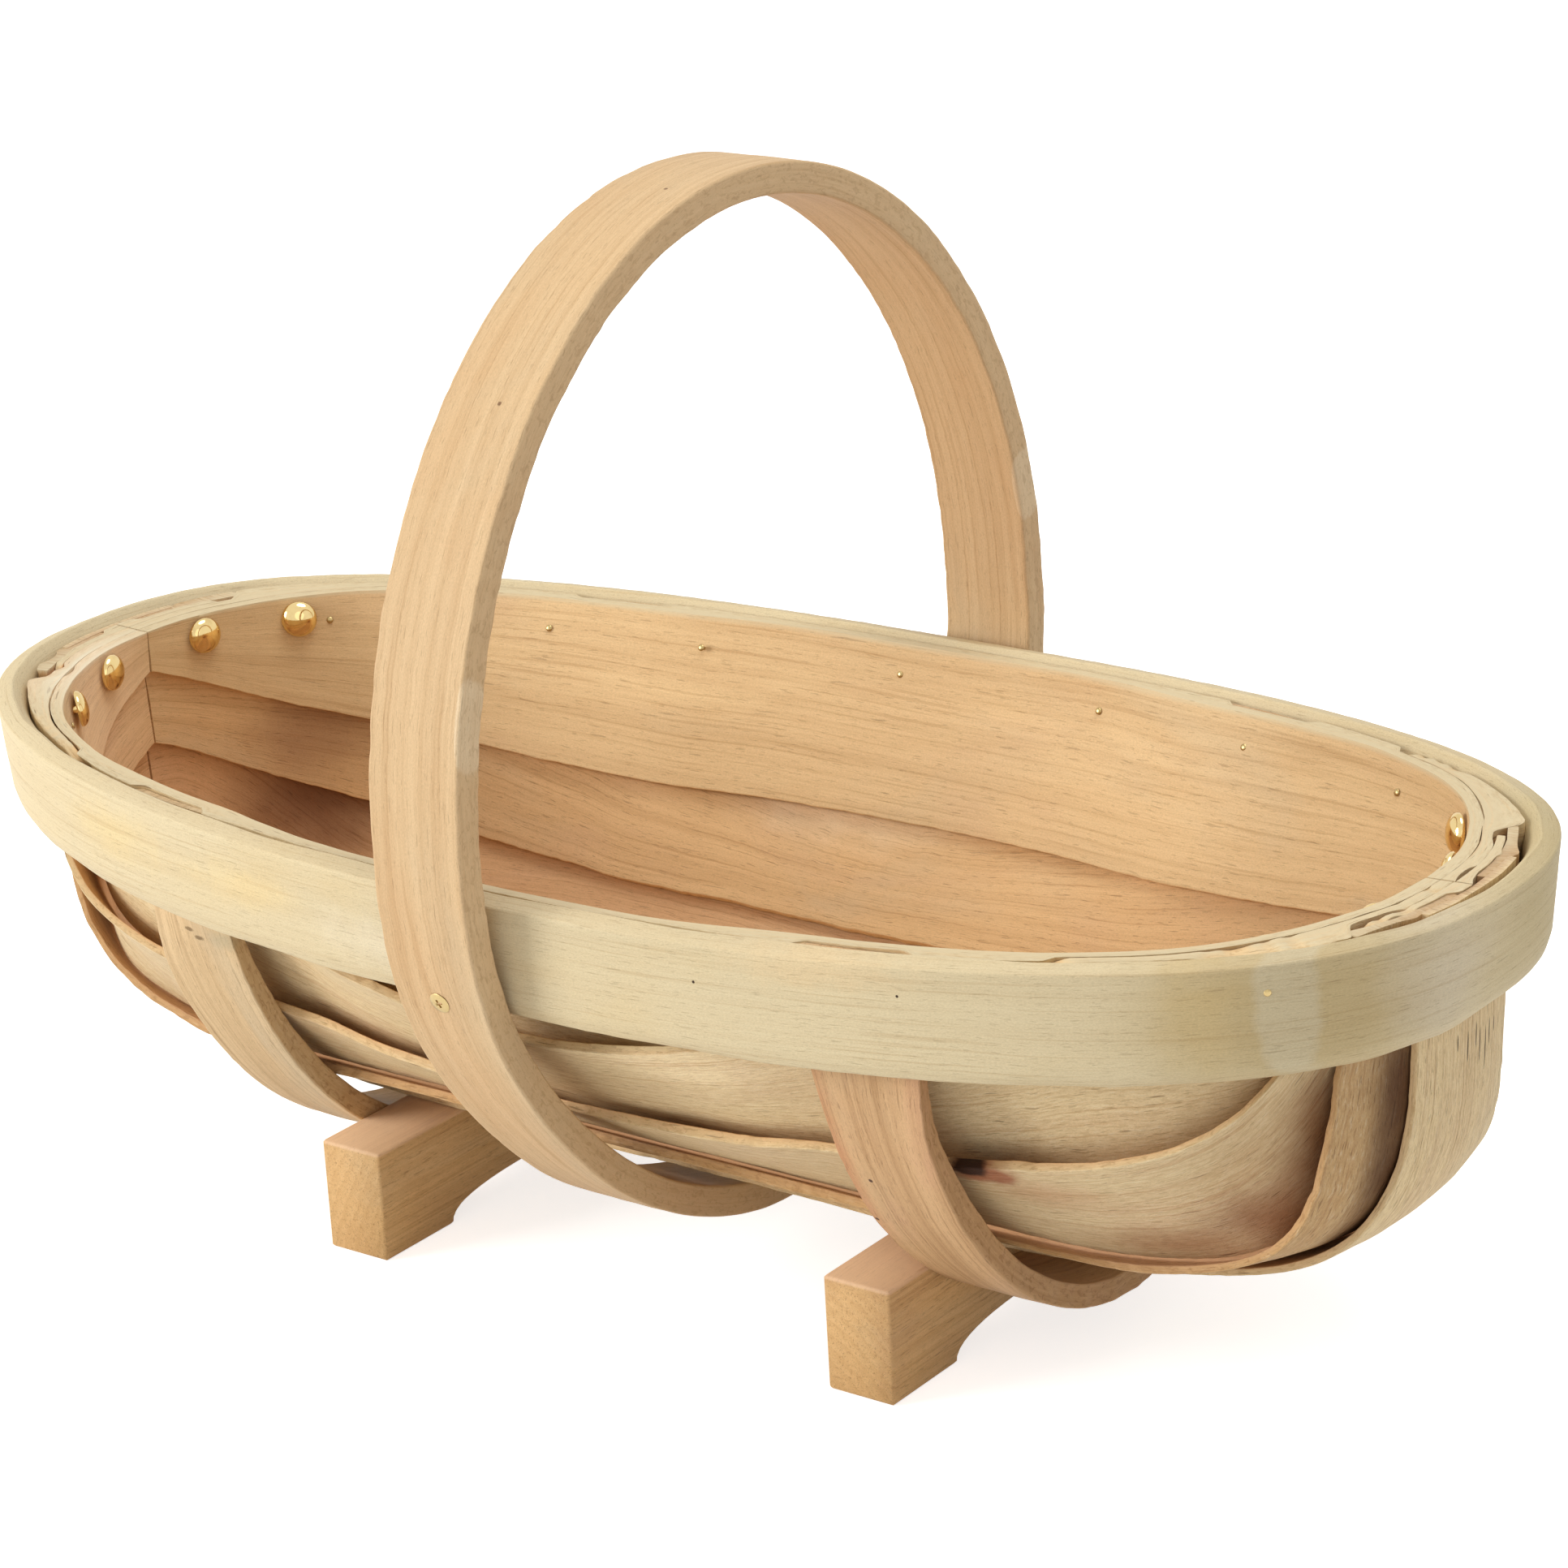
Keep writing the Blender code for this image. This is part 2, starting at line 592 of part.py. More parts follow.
class Flank:
    """The lower, upper and side boards of one flank, each seated on the board outside it."""

    def __init__(self, side, bilge_loops):
        self.side = side
        self.bilge = BVHTree.FromPolygons(*loft_faces(bilge_loops))
        self.bilge_edge = [loop[len(loop) // 2] for loop in bilge_loops]

    def plane(self, angle):
        return Plane(angle, self.side)

    def seat(self, angle):
        """Where the lower board's bottom edge rests on the bilge board."""
        plane = self.plane(angle)
        limit = BILGE_TIP_INNER_EDGE + BOARD_THICKNESS
        probe = plane
        turn = angle
        while abs(probe.foot.y) < limit:
            turn += pi / RIM_STEPS * (1 if cos(angle) > 0 else -1)
            probe = self.plane(turn)
        slant = mix(SEAT_ANGLE, SEAT_TIP_ANGLE, probe.tip)
        corner = self.bilge_corner(probe)
        if corner:
            beyond = atan2(probe.top - corner[1], SEAT_INSET - corner[0] - LOWER_LAP)
            slant = max(slant, beyond)
        start = probe.place(SEAT_INSET, probe.top)
        towards = probe.out * cos(slant) - Vector((0.0, 0.0, sin(slant)))
        hit, normal, face, distance = self.bilge.ray_cast(start, towards)
        if hit is None:
            hit = start + towards * INNER_HALF_WIDTH
            distance = INNER_HALF_WIDTH
        room = distance - 2 * BOARD_GAP
        return SEAT_INSET - room * cos(slant), probe.top - room * sin(slant)

    def bilge_corner(self, plane):
        """Where the bilge board's upper inner corner crosses a plane."""
        level = plane.out.cross(Vector((0.0, 0.0, 1.0)))
        for near, far in zip(self.bilge_edge, self.bilge_edge[1:]):
            first = (near - plane.foot).dot(level)
            second = (far - plane.foot).dot(level)
            if first * second > 0 or near.x * plane.foot.x < 0 and far.x * plane.foot.x < 0:
                continue
            point = near.lerp(far, first / (first - second))
            return (plane.foot - point).dot(plane.out), point.z
        return None

    def sections(self, angle):
        """Corners (outer low, outer high, inner high, inner low) of the three boards in a plane."""
        plane = self.plane(angle)
        thick = board_thickness(plane.along)
        off_lower, off_upper, off_side = stand_off(plane)
        gap = BOARD_GAP * mix(2.0, 4.5, plane.along ** 3)
        found = {}

        low = self.seat(angle)
        rise = LOWER_TOP_RISE * plane.along ** 1.5
        rise += (RIM_TOP - LOWER_TOP_EDGE) * 1.3 * plane.along ** 14
        height = min(plane.top, LOWER_TOP_EDGE + rise)
        high = (off_strap(plane, hull_depth(plane, height) + off_lower, height), height)
        corner = self.bilge_corner(plane)
        if corner:
            high = clear_of(low, high, corner, gap)
        found["lower"] = self.corners(plane, low, high, thick)

        inside = found["lower"]
        height = mix(UPPER_BOTTOM_EDGE, UPPER_BOTTOM_TIP, plane.tip)
        low = (on_line(inside[3], inside[2], height) + gap, height)
        rise = UPPER_TOP_RISE * plane.along ** 1.6
        height = min(plane.top, UPPER_TOP_EDGE + rise)
        high = (off_strap(plane, hull_depth(plane, height) + off_upper, height), height)
        high = clear_of(low, high, inside[2], gap)
        found["upper"] = self.corners(plane, low, high, thick)

        inside = found["upper"]
        height = mix(SIDE_BOTTOM_EDGE, SIDE_BOTTOM_TIP, plane.tip)
        low = (on_line(inside[3], inside[2], height) + BOARD_GAP * 2, height)
        high = (off_strap(plane, BOARD_GAP + off_side, plane.top), plane.top)
        high = clear_of(low, high, inside[2], gap)
        found["side"] = self.corners(plane, low, high, thick)
        return plane, found

    def corners(self, plane, low, high, thick):
        inner_low, inner_high = offset_in(low, high, thick)
        return low, high, trimmed(inner_low, inner_high, plane.top), inner_low

    def angles(self):
        """Angles of the sections, from the butt at one tip to the butt at the other."""
        first = (BUTT_GAP / RIM_WIDTH) ** (RIM_OVAL / 2)
        return [mix(first, pi - first, step / FLANK_STEPS) for step in range(FLANK_STEPS + 1)]

    def make(self, name, which, parts, material):
        loops = []
        for angle in self.angles():
            plane, found = self.sections(angle)
            loops.append([plane.place(*corner) for corner in found[which]])
        return loft(name, loops, parts, material)


def turned_mesh(name, profile, material):
    """The mesh that a Screw modifier turns into a fastener."""
    mesh = bpy.data.meshes.new(name)
    edges = [(start, start + 1) for start in range(len(profile) - 1)]
    mesh.from_pydata([(radius, 0.0, height) for radius, height in profile], edges, [])
    mesh.materials.append(material)
    return mesh


def turn(item, steps):
    screw = item.modifiers.new("turned", "SCREW")
    screw.steps = steps
    screw.render_steps = steps
    screw.use_merge_vertices = True
    screw.merge_threshold = CLEARANCE / 30
    screw.use_smooth_shade = False
    return screw


def nail_profile(head, dome, shank, length):
    """A domed nail, top to bottom: head, underside, shank and point."""
    profile = []
    for step in range(DOME_STEPS + 1):
        angle = pi / 2 * (1 - step / DOME_STEPS)
        profile.append((head / 2 * cos(angle), dome * sin(angle)))
    profile[0] = (0.0, dome)
    profile += [(shank / 2, 0.0), (shank / 2, shank - length), (0.0, -length)]
    return profile


def screw_profile():
    """A countersunk screw, top to bottom, with its head flush at height 0."""
    return [(0.0, 0.0), (SCREW_HEAD / 2, 0.0), (SCREW_SHANK / 2, -SCREW_SINK),
            (SCREW_SHANK / 2, SCREW_SHANK - SCREW_LENGTH), (0.0, -SCREW_LENGTH)]


def cutter(name, shape_mesh, matrix, cutters):
    """A hidden cutter."""
    made = add_object(name, shape_mesh, cutters, matrix=matrix)
    made.hide_render = True
    made.display_type = "WIRE"
    return made


def cylinder_mesh(name, radius, low, high, sides=TACK_STEPS, low_radius=None):
    """A cylinder or cone along Z."""
    shape = bmesh.new()
    bmesh.ops.create_cone(shape, cap_ends=True, segments=sides, depth=high - low,
                          radius1=radius if low_radius is None else low_radius, radius2=radius)
    bmesh.ops.translate(shape, verts=shape.verts, vec=(0.0, 0.0, (high + low) / 2))
    mesh = bpy.data.meshes.new(name)
    shape.to_mesh(mesh)
    shape.free()
    return mesh


def cut(item, tool):
    """One exact Boolean difference."""
    boolean = item.modifiers.new("hole", "BOOLEAN")
    boolean.operation = "DIFFERENCE"
    boolean.solver = "EXACT"
    boolean.object = tool
    return boolean


def facing(point, direction):
    """A placement whose +Z looks along a direction."""
    return Matrix.Translation(point) @ direction.to_track_quat("Z", "Y").to_matrix().to_4x4()


def merged_cutter(name, meshes, cutters):
    """Several cutters as one object, from pairs of mesh and placement."""
    shape = bmesh.new()
    for mesh, matrix in meshes:
        piece = bmesh.new()
        piece.from_mesh(mesh)
        bmesh.ops.transform(piece, matrix=matrix, verts=piece.verts)
        moved = bpy.data.meshes.new(name)
        piece.to_mesh(moved)
        piece.free()
        shape.from_mesh(moved)
        bpy.data.meshes.remove(moved)
    joined = bpy.data.meshes.new(name)
    shape.to_mesh(joined)
    shape.free()
    return cutter(name, joined, Matrix.Identity(4), cutters)


def nail_places(flank, shares, drop):
    """Where nails go through a side board: point on its inner face and direction back out of it."""
    places = []
    for share in shares:
        plane, found = flank.sections(share * pi)
        outer_low, outer_high, inner_high, inner_low = found["side"]
        height = plane.top - drop
        point = plane.place(on_line(inner_low, inner_high, height), height)
        slope = plane.place(*inner_high) - plane.place(*inner_low)
        level = plane.out.cross(slope)
        places.append((point, level.cross(slope).normalized()))
    return places


def main():
    parts, cutters = start_scene()
    rim_wood = principled("rim_wood", (0.62, 0.45, 0.25), 0.62)
    handle_wood = principled("handle_wood", (0.66, 0.40, 0.20), 0.58)
    strap_wood = principled("strap_wood", (0.56, 0.36, 0.19), 0.66)
    board_wood = principled("board_wood", (0.58, 0.33, 0.15), 0.64)
    foot_wood = principled("foot_wood", (0.50, 0.33, 0.17), 0.68)
    brass = principled("brass", (0.78, 0.55, 0.20), 0.28, 1.0)

    rim = make_rim(parts, rim_wood)
    handle = make_handle(parts, handle_wood)
    straps = []
    for name, side in (("left", -1), ("right", 1)):
        strap = make_strap("strap_" + name, side * STRAP_SPACING / 2, parts, strap_wood)
        straps.append(strap)
        beside = STRAP_SPACING / 2 - STRAP_WIDTH / 2 - CLEARANCE - FOOT_WIDTH / 2
        make_foot("foot_" + name, side * beside, parts, foot_wood)

    def level(along):
        return 0.0

    loops, centre = keel_board("board_centre", centre_columns, level, level, parts, board_wood)
    tack_mesh = turned_mesh("tack", nail_profile(TACK_HEAD, TACK_DOME, TACK_SHANK, TACK_LENGTH), brass)
    pin_mesh = turned_mesh("pin", nail_profile(PIN_HEAD, PIN_DOME, PIN_SHANK, PIN_LENGTH), brass)
    tack_hole = cylinder_mesh("tack_hole", TACK_SHANK / 2 + CLEARANCE,
                              -TACK_LENGTH - OVERRUN, OVERRUN, PIN_STEPS)
    pin_hole = cylinder_mesh("pin_hole", PIN_SHANK / 2 + CLEARANCE,
                             -PIN_LENGTH - OVERRUN, OVERRUN, PIN_STEPS)
    strap_share = acos((STRAP_SPACING / 2 / HALF_LENGTH) ** (RIM_OVAL / 2)) / pi
    pin_shares = sorted(PIN_TURN_SHARES + (strap_share,))
    rim_holes = []
    centre_holes = []
    for flank_name, side in (("near", -1), ("far", 1)):
        def columns(along, drop, side=side):
            return bilge_columns(along, drop, side)

        bilge_loops, bilge = keel_board("board_bilge_" + flank_name, columns, bilge_inset,
                                        bilge_tilt, parts, board_wood)
        flank = Flank(side, bilge_loops)
        boards = [flank.make("board_" + which + "_" + flank_name, which, parts, board_wood)
                  for which in ("lower", "upper", "side")]
        holes = []
        for number, (point, back) in enumerate(nail_places(flank, TACK_TURN_SHARES, TACK_DROP), 1):
            matrix = facing(point + back * TACK_SEAT, back)
            tack = add_object("tack_%s_%d" % (flank_name, number), tack_mesh, parts, matrix=matrix)
            turn(tack, TACK_STEPS)
            holes.append((tack_hole, matrix))
        centre_holes += holes
        for number, (point, back) in enumerate(nail_places(flank, pin_shares, PIN_DROP), 1):
            matrix = facing(point + back * PIN_SEAT, back)
            pin = add_object("pin_%s_%d" % (flank_name, number), pin_mesh, parts, matrix=matrix)
            turn(pin, PIN_STEPS)
            holes.append((pin_hole, matrix))
        rim_holes += holes
        nails = merged_cutter("nail_holes_" + flank_name, holes, cutters)
        for board in boards + [bilge] + straps:
            cut(board, nails)
    cut(centre, merged_cutter("nail_holes_centre", centre_holes, cutters))

    screw_mesh = turned_mesh("handle_screw", screw_profile(), brass)
    bore = cylinder_mesh("screw_bore", SCREW_SHANK / 2 + CLEARANCE, -SCREW_LENGTH - OVERRUN, OVERRUN)
    reach = SCREW_HEAD / 2 - SCREW_SHANK / 2
    sink = cylinder_mesh("screw_sink", SCREW_HEAD / 2 + CLEARANCE + reach * OVERRUN / SCREW_SINK,
                         -SCREW_SINK - CLEARANCE, OVERRUN, low_radius=SCREW_SHANK / 2 + CLEARANCE / 2)
    screw_height = RIM_TOP - RIM_HEIGHT + SCREW_RISE
    turned = min((abs(handle_inside(-step * pi / 720)[1] - screw_height), step)
                 for step in range(360))[1]
    inside = abs(handle_inside(-turned * pi / 720)[0])
    for flank_name, side in (("near", -1), ("far", 1)):
        matrix = facing(Vector((HANDLE_OFFSET, side * (inside + HANDLE_THICKNESS), screw_height)),
                        Vector((0.0, side, 0.0)))
        screw = add_object("handle_screw_" + flank_name, screw_mesh, parts, matrix=matrix)
        turn(screw, TACK_STEPS)
        cut(handle, cutter("screw_bore_" + flank_name, bore, matrix, cutters))
        cut(handle, cutter("screw_sink_" + flank_name, sink, matrix, cutters))
        rim_holes.append((bore, matrix))
    cut(rim, merged_cutter("rim_holes", rim_holes, cutters))

    frame = add_object("trug_frame", None, parts)
    for item in parts.objects:
        if item is not frame:
            item.parent = frame


main()
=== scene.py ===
"""Garden trug, dressed: split-wood boards, bent rim, handle and straps with their grain, and brass nails."""

from math import cos, pi, radians, sin

import bmesh
import bpy
import numpy as np
from bpy.props import FloatProperty, FloatVectorProperty, IntProperty
from mathutils import Matrix, Vector
from mathutils.bvhtree import BVHTree


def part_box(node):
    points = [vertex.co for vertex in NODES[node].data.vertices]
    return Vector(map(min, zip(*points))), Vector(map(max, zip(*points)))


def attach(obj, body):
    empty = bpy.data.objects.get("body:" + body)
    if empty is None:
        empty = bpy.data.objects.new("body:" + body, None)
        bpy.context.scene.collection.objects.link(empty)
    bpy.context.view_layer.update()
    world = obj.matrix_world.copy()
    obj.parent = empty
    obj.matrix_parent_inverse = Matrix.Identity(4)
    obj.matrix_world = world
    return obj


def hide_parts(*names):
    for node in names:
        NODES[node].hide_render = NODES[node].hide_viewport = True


bl_info = {
    "name": "Garden trug finish",
    "version": (1, 0, 0),
    "blender": (4, 5, 0),
    "location": "3D view, sidebar, Trug tab",
    "description": "Gives the solids of a garden trug their wood grain, torn edges and brass nails",
    "category": "Object",
}

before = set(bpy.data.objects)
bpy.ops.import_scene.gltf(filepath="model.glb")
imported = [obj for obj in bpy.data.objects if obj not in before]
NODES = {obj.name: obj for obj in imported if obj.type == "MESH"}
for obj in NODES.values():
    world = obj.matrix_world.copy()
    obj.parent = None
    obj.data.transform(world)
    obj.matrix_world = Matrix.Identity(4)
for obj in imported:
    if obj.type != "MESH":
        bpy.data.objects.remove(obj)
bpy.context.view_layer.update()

MM = 0.001
SIDES = {"near": -1.0, "far": 1.0}
HANDS = ("left", "right")
RIM_OVAL = 2.39             # superellipse exponent of the rim's plan
BUTT_TURN = 0.0009          # turn of the rim's oval at which the flanks' boards butt
SAME_PLACE = 0.00006 * MM   # corners nearer than this are one corner
SHARP = radians(55)         # faces that meet at more than this are shaded apart
LONG_SIDE = 0.2             # share of the longest line above which a line of a section tells its slant
TRIM_DROP = 0.15 * MM       # how far the trimmed board tops lie below the rim's top edge
FILL_REACH = 24.0 * MM      # widest wedge that is closed between a board's top and its neighbour
FILL_GAP = 0.05 * MM        # gap that stays between them
FILL_START = 1.5 * MM       # depth below the flush tops at which a neighbour is looked for
FILL_LEVELS = (-1.0 * MM, 9.0 * MM)         # heights over the rim's lower edge where it sets in
CRACK_SHARE = 0.75          # share of a wedge that stays open in a crack
# middle and reach in millimetres of the cracks among the trimmed board tops
OPEN_CRACKS = ((254.5, 42.5, 13.0), (256.5, 8.0, 7.0), (253.0, -35.0, 11.0), (-256.5, -36.0, 7.0),
               (-244.5, -45.5, 8.0))

# Lowest and highest corners that the shapes below are measured from
RIM_LOW, RIM_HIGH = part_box("rim")
HALF_LENGTH = RIM_HIGH.x
HALF_WIDTH = RIM_HIGH.y
HANDLE_LOW, HANDLE_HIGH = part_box("handle")
HANDLE_MIDDLE = (HANDLE_LOW.z + HANDLE_HIGH.z) / 2
FOOT_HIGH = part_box("foot_right")[1]


def length(name, description, default, low, high):
    return FloatProperty(name=name, description=description, default=default, min=low, max=high,
                         unit="LENGTH")


def colour(name, description, default):
    return FloatVectorProperty(name=name, description=description, subtype="COLOR", size=3,
                               default=default, min=0.0, max=1.0)


def angle(name, description, degrees):
    return FloatProperty(name=name, description=description, default=radians(degrees), subtype="ANGLE")


class TrugSizes(bpy.types.PropertyGroup):
    """Sizes of the finish that a user would change."""
    step: length("Step", "Length of one face along the grain", 0.0013, 0.0008, 0.01)
    band_rounding: length("Band rounding", "Rounding of rim and handle edges", 0.0009, 0.0002, 0.004)
    board_rounding: length("Board rounding", "Rounding of board edges", 0.0004, 0.0001, 0.001)
    tear: length("Tear", "How far a torn board edge wanders", 0.0009, 0.0, 0.003)
    tack_head: length("Tack head", "Diameter of a tack's domed head", 0.0125, 0.005, 0.02)
    tack_dome: length("Tack dome", "Height of a tack's domed head", 0.0036, 0.001, 0.008)
    pin_head: length("Pin head", "Diameter of a pin's head", 0.0024, 0.001, 0.005)
    screw_head: length("Screw head", "Diameter of the handle screw's head", 0.0070, 0.004, 0.01)
    seed: IntProperty(name="Seed", description="Seed of the tears, ripples and grain", default=7)


class TrugColours(bpy.types.PropertyGroup):
    """Base colours of the woods and the metal, before their grain."""
    rim: colour("Rim", "Cream wood of the rim", (0.71, 0.59, 0.37))
    handle: colour("Handle", "Blond wood of the handle", (0.71, 0.50, 0.28))
    strap: colour("Straps", "Wood of the straps", (0.66, 0.42, 0.22))
    board: colour("Boards", "Tan wood of the boards", (0.71, 0.46, 0.23))
    outside: colour("Board backs", "Paler outer face of the boards", (0.76, 0.60, 0.35))
    foot: colour("Feet", "Wood of the feet", (0.75, 0.48, 0.22))
    brass: colour("Brass", "Polished brass", (0.86, 0.65, 0.30))
    floor: colour("Floor", "Pale floor", (0.86, 0.86, 0.86))


class TrugCamera(bpy.types.PropertyGroup):
    """The photograph's viewpoint, found by fitting the trug's outlines."""
    place: FloatVectorProperty(name="Place", description="Where the camera stands", size=3,
                               default=(0.84312, -1.07742, 0.63635), subtype="TRANSLATION")
    yaw: angle("Yaw", "Turn to the left", 37.2968)
    pitch: angle("Pitch", "Tilt down", 19.5103)
    roll: angle("Roll", "Lean to the right", 3.1651)
    lens: FloatProperty(name="Lens", description="Focal length on a 36 mm sensor", default=106.52)


# Noise in numbers

def mix(low, high, share):
    return low + (high - low) * share


def smooth(low, high, value):
    """0 below low, 1 above high and an even S between them."""
    share = np.clip((value - low) / (high - low), 0.0, 1.0)
    return share * share * (3 - 2 * share)


def ripple(x, y, seed):
    """Smooth noise between -1 and 1 over two coordinates."""
    size, x_stride, y_stride = 4096, 131, 977
    table = np.random.default_rng(seed).uniform(-1, 1, size)
    column, row = np.floor(x).astype(int), np.floor(y).astype(int)

    def value(i, j):
        return table[(i * x_stride + j * y_stride) % size]

    across, along = smooth(0, 1, x - column), smooth(0, 1, y - row)
    low = mix(value(column, row), value(column + 1, row), across)
    high = mix(value(column, row + 1), value(column + 1, row + 1), across)
    return mix(low, high, along)


def wander(along, seed, length, finer=2.4):
    """A line that wanders between about -1 and 1, with finer and finer bends."""
    flat = np.zeros_like(along)
    total = flat
    for octave, weight in enumerate((0.24, 0.25, 0.30, 0.34)):
        total = total + weight * ripple(along / length * finer ** octave, flat, seed + octave)
    return total


def bitten(along, seed, length, depth, splinter=3.5 * MM):
    """Where a ragged edge has lost splinters: 0 or less, down to minus the depth."""
    flat = np.zeros_like(along)
    where = smooth(0.25, 0.75, ripple(along / length, flat, seed))
    return -depth * where * (0.65 + 0.35 * ripple(along / splinter, flat, seed + 1))


# Reading the solids

def triangles(name):
    """Corners (n, 3, 3) of a node's triangles."""
    mesh = NODES[name].data
    mesh.calc_loop_triangles()
    points = np.empty(len(mesh.vertices) * 3)
    mesh.vertices.foreach_get("co", points)
    corners = np.empty(len(mesh.loop_triangles) * 3, dtype=np.int32)
    mesh.loop_triangles.foreach_get("vertices", corners)
    return points.reshape(-1, 3)[corners.reshape(-1, 3)]


class Cut:
    """A half plane through the trug: its foot, its direction, what is across and what is outward."""

    def __init__(self, foot, ahead, across, outward, reach=(0.0, 1.0)):
        self.foot, self.ahead, self.across, self.outward = map(np.array, (foot, ahead, across, outward))
        self.reach = reach

    def segments(self, corners):
        """Ends (n, 2, 3) of the lines in which the half plane cuts triangles."""
        side = (corners - self.foot) @ np.cross(self.across, self.outward)
        above = side > 0
        hit = above.any(1) & ~above.all(1)
        corners, side = corners[hit], side[hit]
        ends = []
        for first, second in ((0, 1), (1, 2), (2, 0)):
            before, after = side[:, first], side[:, second]
            crosses = (before > 0) != (after > 0)
            share = np.where(crosses, before, 0.0) / np.where(crosses, before - after, 1.0)
            point = corners[:, first] + share[:, None] * (corners[:, second] - corners[:, first])
            ends.append(np.where(crosses[:, None], point, np.nan))
        ends = np.stack(ends, 1)
        ends = ends[~np.isnan(ends[..., 0])].reshape(-1, 2, 3)
        distance = (ends.mean(1) - self.foot) @ self.ahead
        return ends[(distance > self.reach[0]) & (distance < self.reach[1])]

    def section(self, corners, columns, margin):
        """Outer and inner points of a solid's section at even steps from edge to edge."""
        ends = self.segments(corners)
        middle = ends.reshape(-1, 3).mean(0)
        step = ends[:, 1] - ends[:, 0]
        size = np.linalg.norm(step, axis=1)
        step *= np.sign(step @ self.across)[:, None]
        chord = step[size > size.max() * LONG_SIDE].sum(0)
        chord /= np.linalg.norm(chord)
        off = np.cross(chord, np.cross(self.across, self.outward))
        off *= np.sign(off @ self.outward)
        a = (ends - middle) @ chord
        b = (ends - middle) @ off
        low, high = a.min(), a.max()
        samples = np.linspace(low + margin, high - margin, columns)
        rows, start = np.arange(len(a)), a.argmin(1)
        a0, b0 = a[rows, start], b[rows, start]
        a1, b1 = a[rows, 1 - start], b[rows, 1 - start]
        inside = (samples[:, None] >= a0) & (samples[:, None] <= a1)
        height = b0 + (b1 - b0) * (samples[:, None] - a0) / np.maximum(a1 - a0, 1e-9)
        known = inside.any(1)
        places = np.linspace(low, high, columns)
        found = []
        for line in (np.where(inside, height, -np.inf).max(1), np.where(inside, height, np.inf).min(1)):
            level = np.interp(samples, samples[known], line[known])
            spread = np.interp(places, samples, level)
            for end, near in ((0, 1), (-1, -2)):
                slope = (level[end] - level[near]) / (samples[end] - samples[near])
                spread[end] = level[end] + slope * (places[end] - samples[end])
            found.append(middle + places[:, None] * chord + spread[:, None] * off)
        return found


def evened(grid, closed, rounds):
    """Facets smoothed out along a grid of points."""
    for _ in range(rounds):
        if closed:
            grid = (np.roll(grid, 1, 0) + 2 * grid + np.roll(grid, -1, 0)) / 4
        else:
            middle = (grid[:-2] + 2 * grid[1:-1] + grid[2:]) / 4
            grid = np.concatenate([grid[:1], middle, grid[-1:]])
    return grid


def crack_at(point):
    """1 inside a crack among the board tops, 0 away from them all."""
    return max(smooth(1.0, 0.55, np.hypot(point[0] - x * MM, point[1] - y * MM) / (reach * MM))
               for x, y, reach in OPEN_CRACKS)


class Timber:
    """A bent piece of wood, as a map from lengths along and across it to its two faces."""

    def __init__(self, node, cuts, columns=9, closed=False, rounds=4, margin=0.0018):
        corners = triangles(node)
        sections = [cut.section(corners, columns, margin) for cut in cuts]
        grids = [evened(np.array(face), closed, rounds) for face in zip(*sections)]
        if closed:
            grids = [np.concatenate([grid, grid[:1]]) for grid in grids]
        self.outer, self.inner = grids
        self.node, self.closed = node, closed
        middle = (self.outer + self.inner).mean(1) / 2
        pace = np.linalg.norm(np.diff(middle, axis=0), axis=1)
        self.stations = np.concatenate([[0.0], np.cumsum(pace)])
        self.length = self.stations[-1]
        self.widths = np.linalg.norm(np.diff(self.outer, axis=1), axis=2).sum(1)
        self.thick = np.linalg.norm(self.outer - self.inner, axis=2).mean()

    def fill(self, walls):
        """Move the outer face out against its neighbours behind the rim, but for the cracks."""
        low, high = [RIM_LOW.z + level for level in FILL_LEVELS]
        for row in range(len(self.outer)):
            for column in range(self.outer.shape[1]):
                point, back = self.outer[row, column], self.inner[row, column]
                share = smooth(low, high, point[2])
                way = point - back
                way[2] = 0.0
                size = np.linalg.norm(way)
                if share <= 0 or size < 1e-6:
                    continue
                # all tops are flush, so a ray from the very top would pass over the neighbours
                start = Vector((point[0], point[1], min(point[2], rim_level(point[0]) - FILL_START)))
                hit = walls.ray_cast(start, Vector(way / size), FILL_REACH)
                if hit[0] is None or hit[1].dot(Vector(way)) > 0:
                    continue
                room = max(0.0, hit[3] - FILL_GAP) * (1 - CRACK_SHARE * crack_at(point))
                self.outer[row, column] = point + way / size * room * share

    def width(self, along):
        return np.interp(along, self.stations, self.widths)

    def place(self, along, across, through):
        """Points at lengths along (n), shares across (n, m) and shares through, 0 outside, 1 inside."""
        along = np.clip(along, 0.0, self.length)
        station = np.clip(np.searchsorted(self.stations, along) - 1, 0, len(self.stations) - 2)
        span = self.stations[station + 1] - self.stations[station]
        ahead = ((along - self.stations[station]) / np.maximum(span, 1e-9))[:, None, None]
        columns = self.outer.shape[1] - 1
        column = np.clip(np.floor(across * columns).astype(int), 0, columns - 1)
        beside = (across * columns - column)[..., None]
        rows = np.arange(len(along))[:, None]
        faces = []
        for grid in (self.outer, self.inner):
            line = mix(grid[station], grid[station + 1], ahead)
            faces.append(mix(line[rows, column], line[rows, column + 1], beside))
        return mix(faces[0], faces[1], through[..., None])


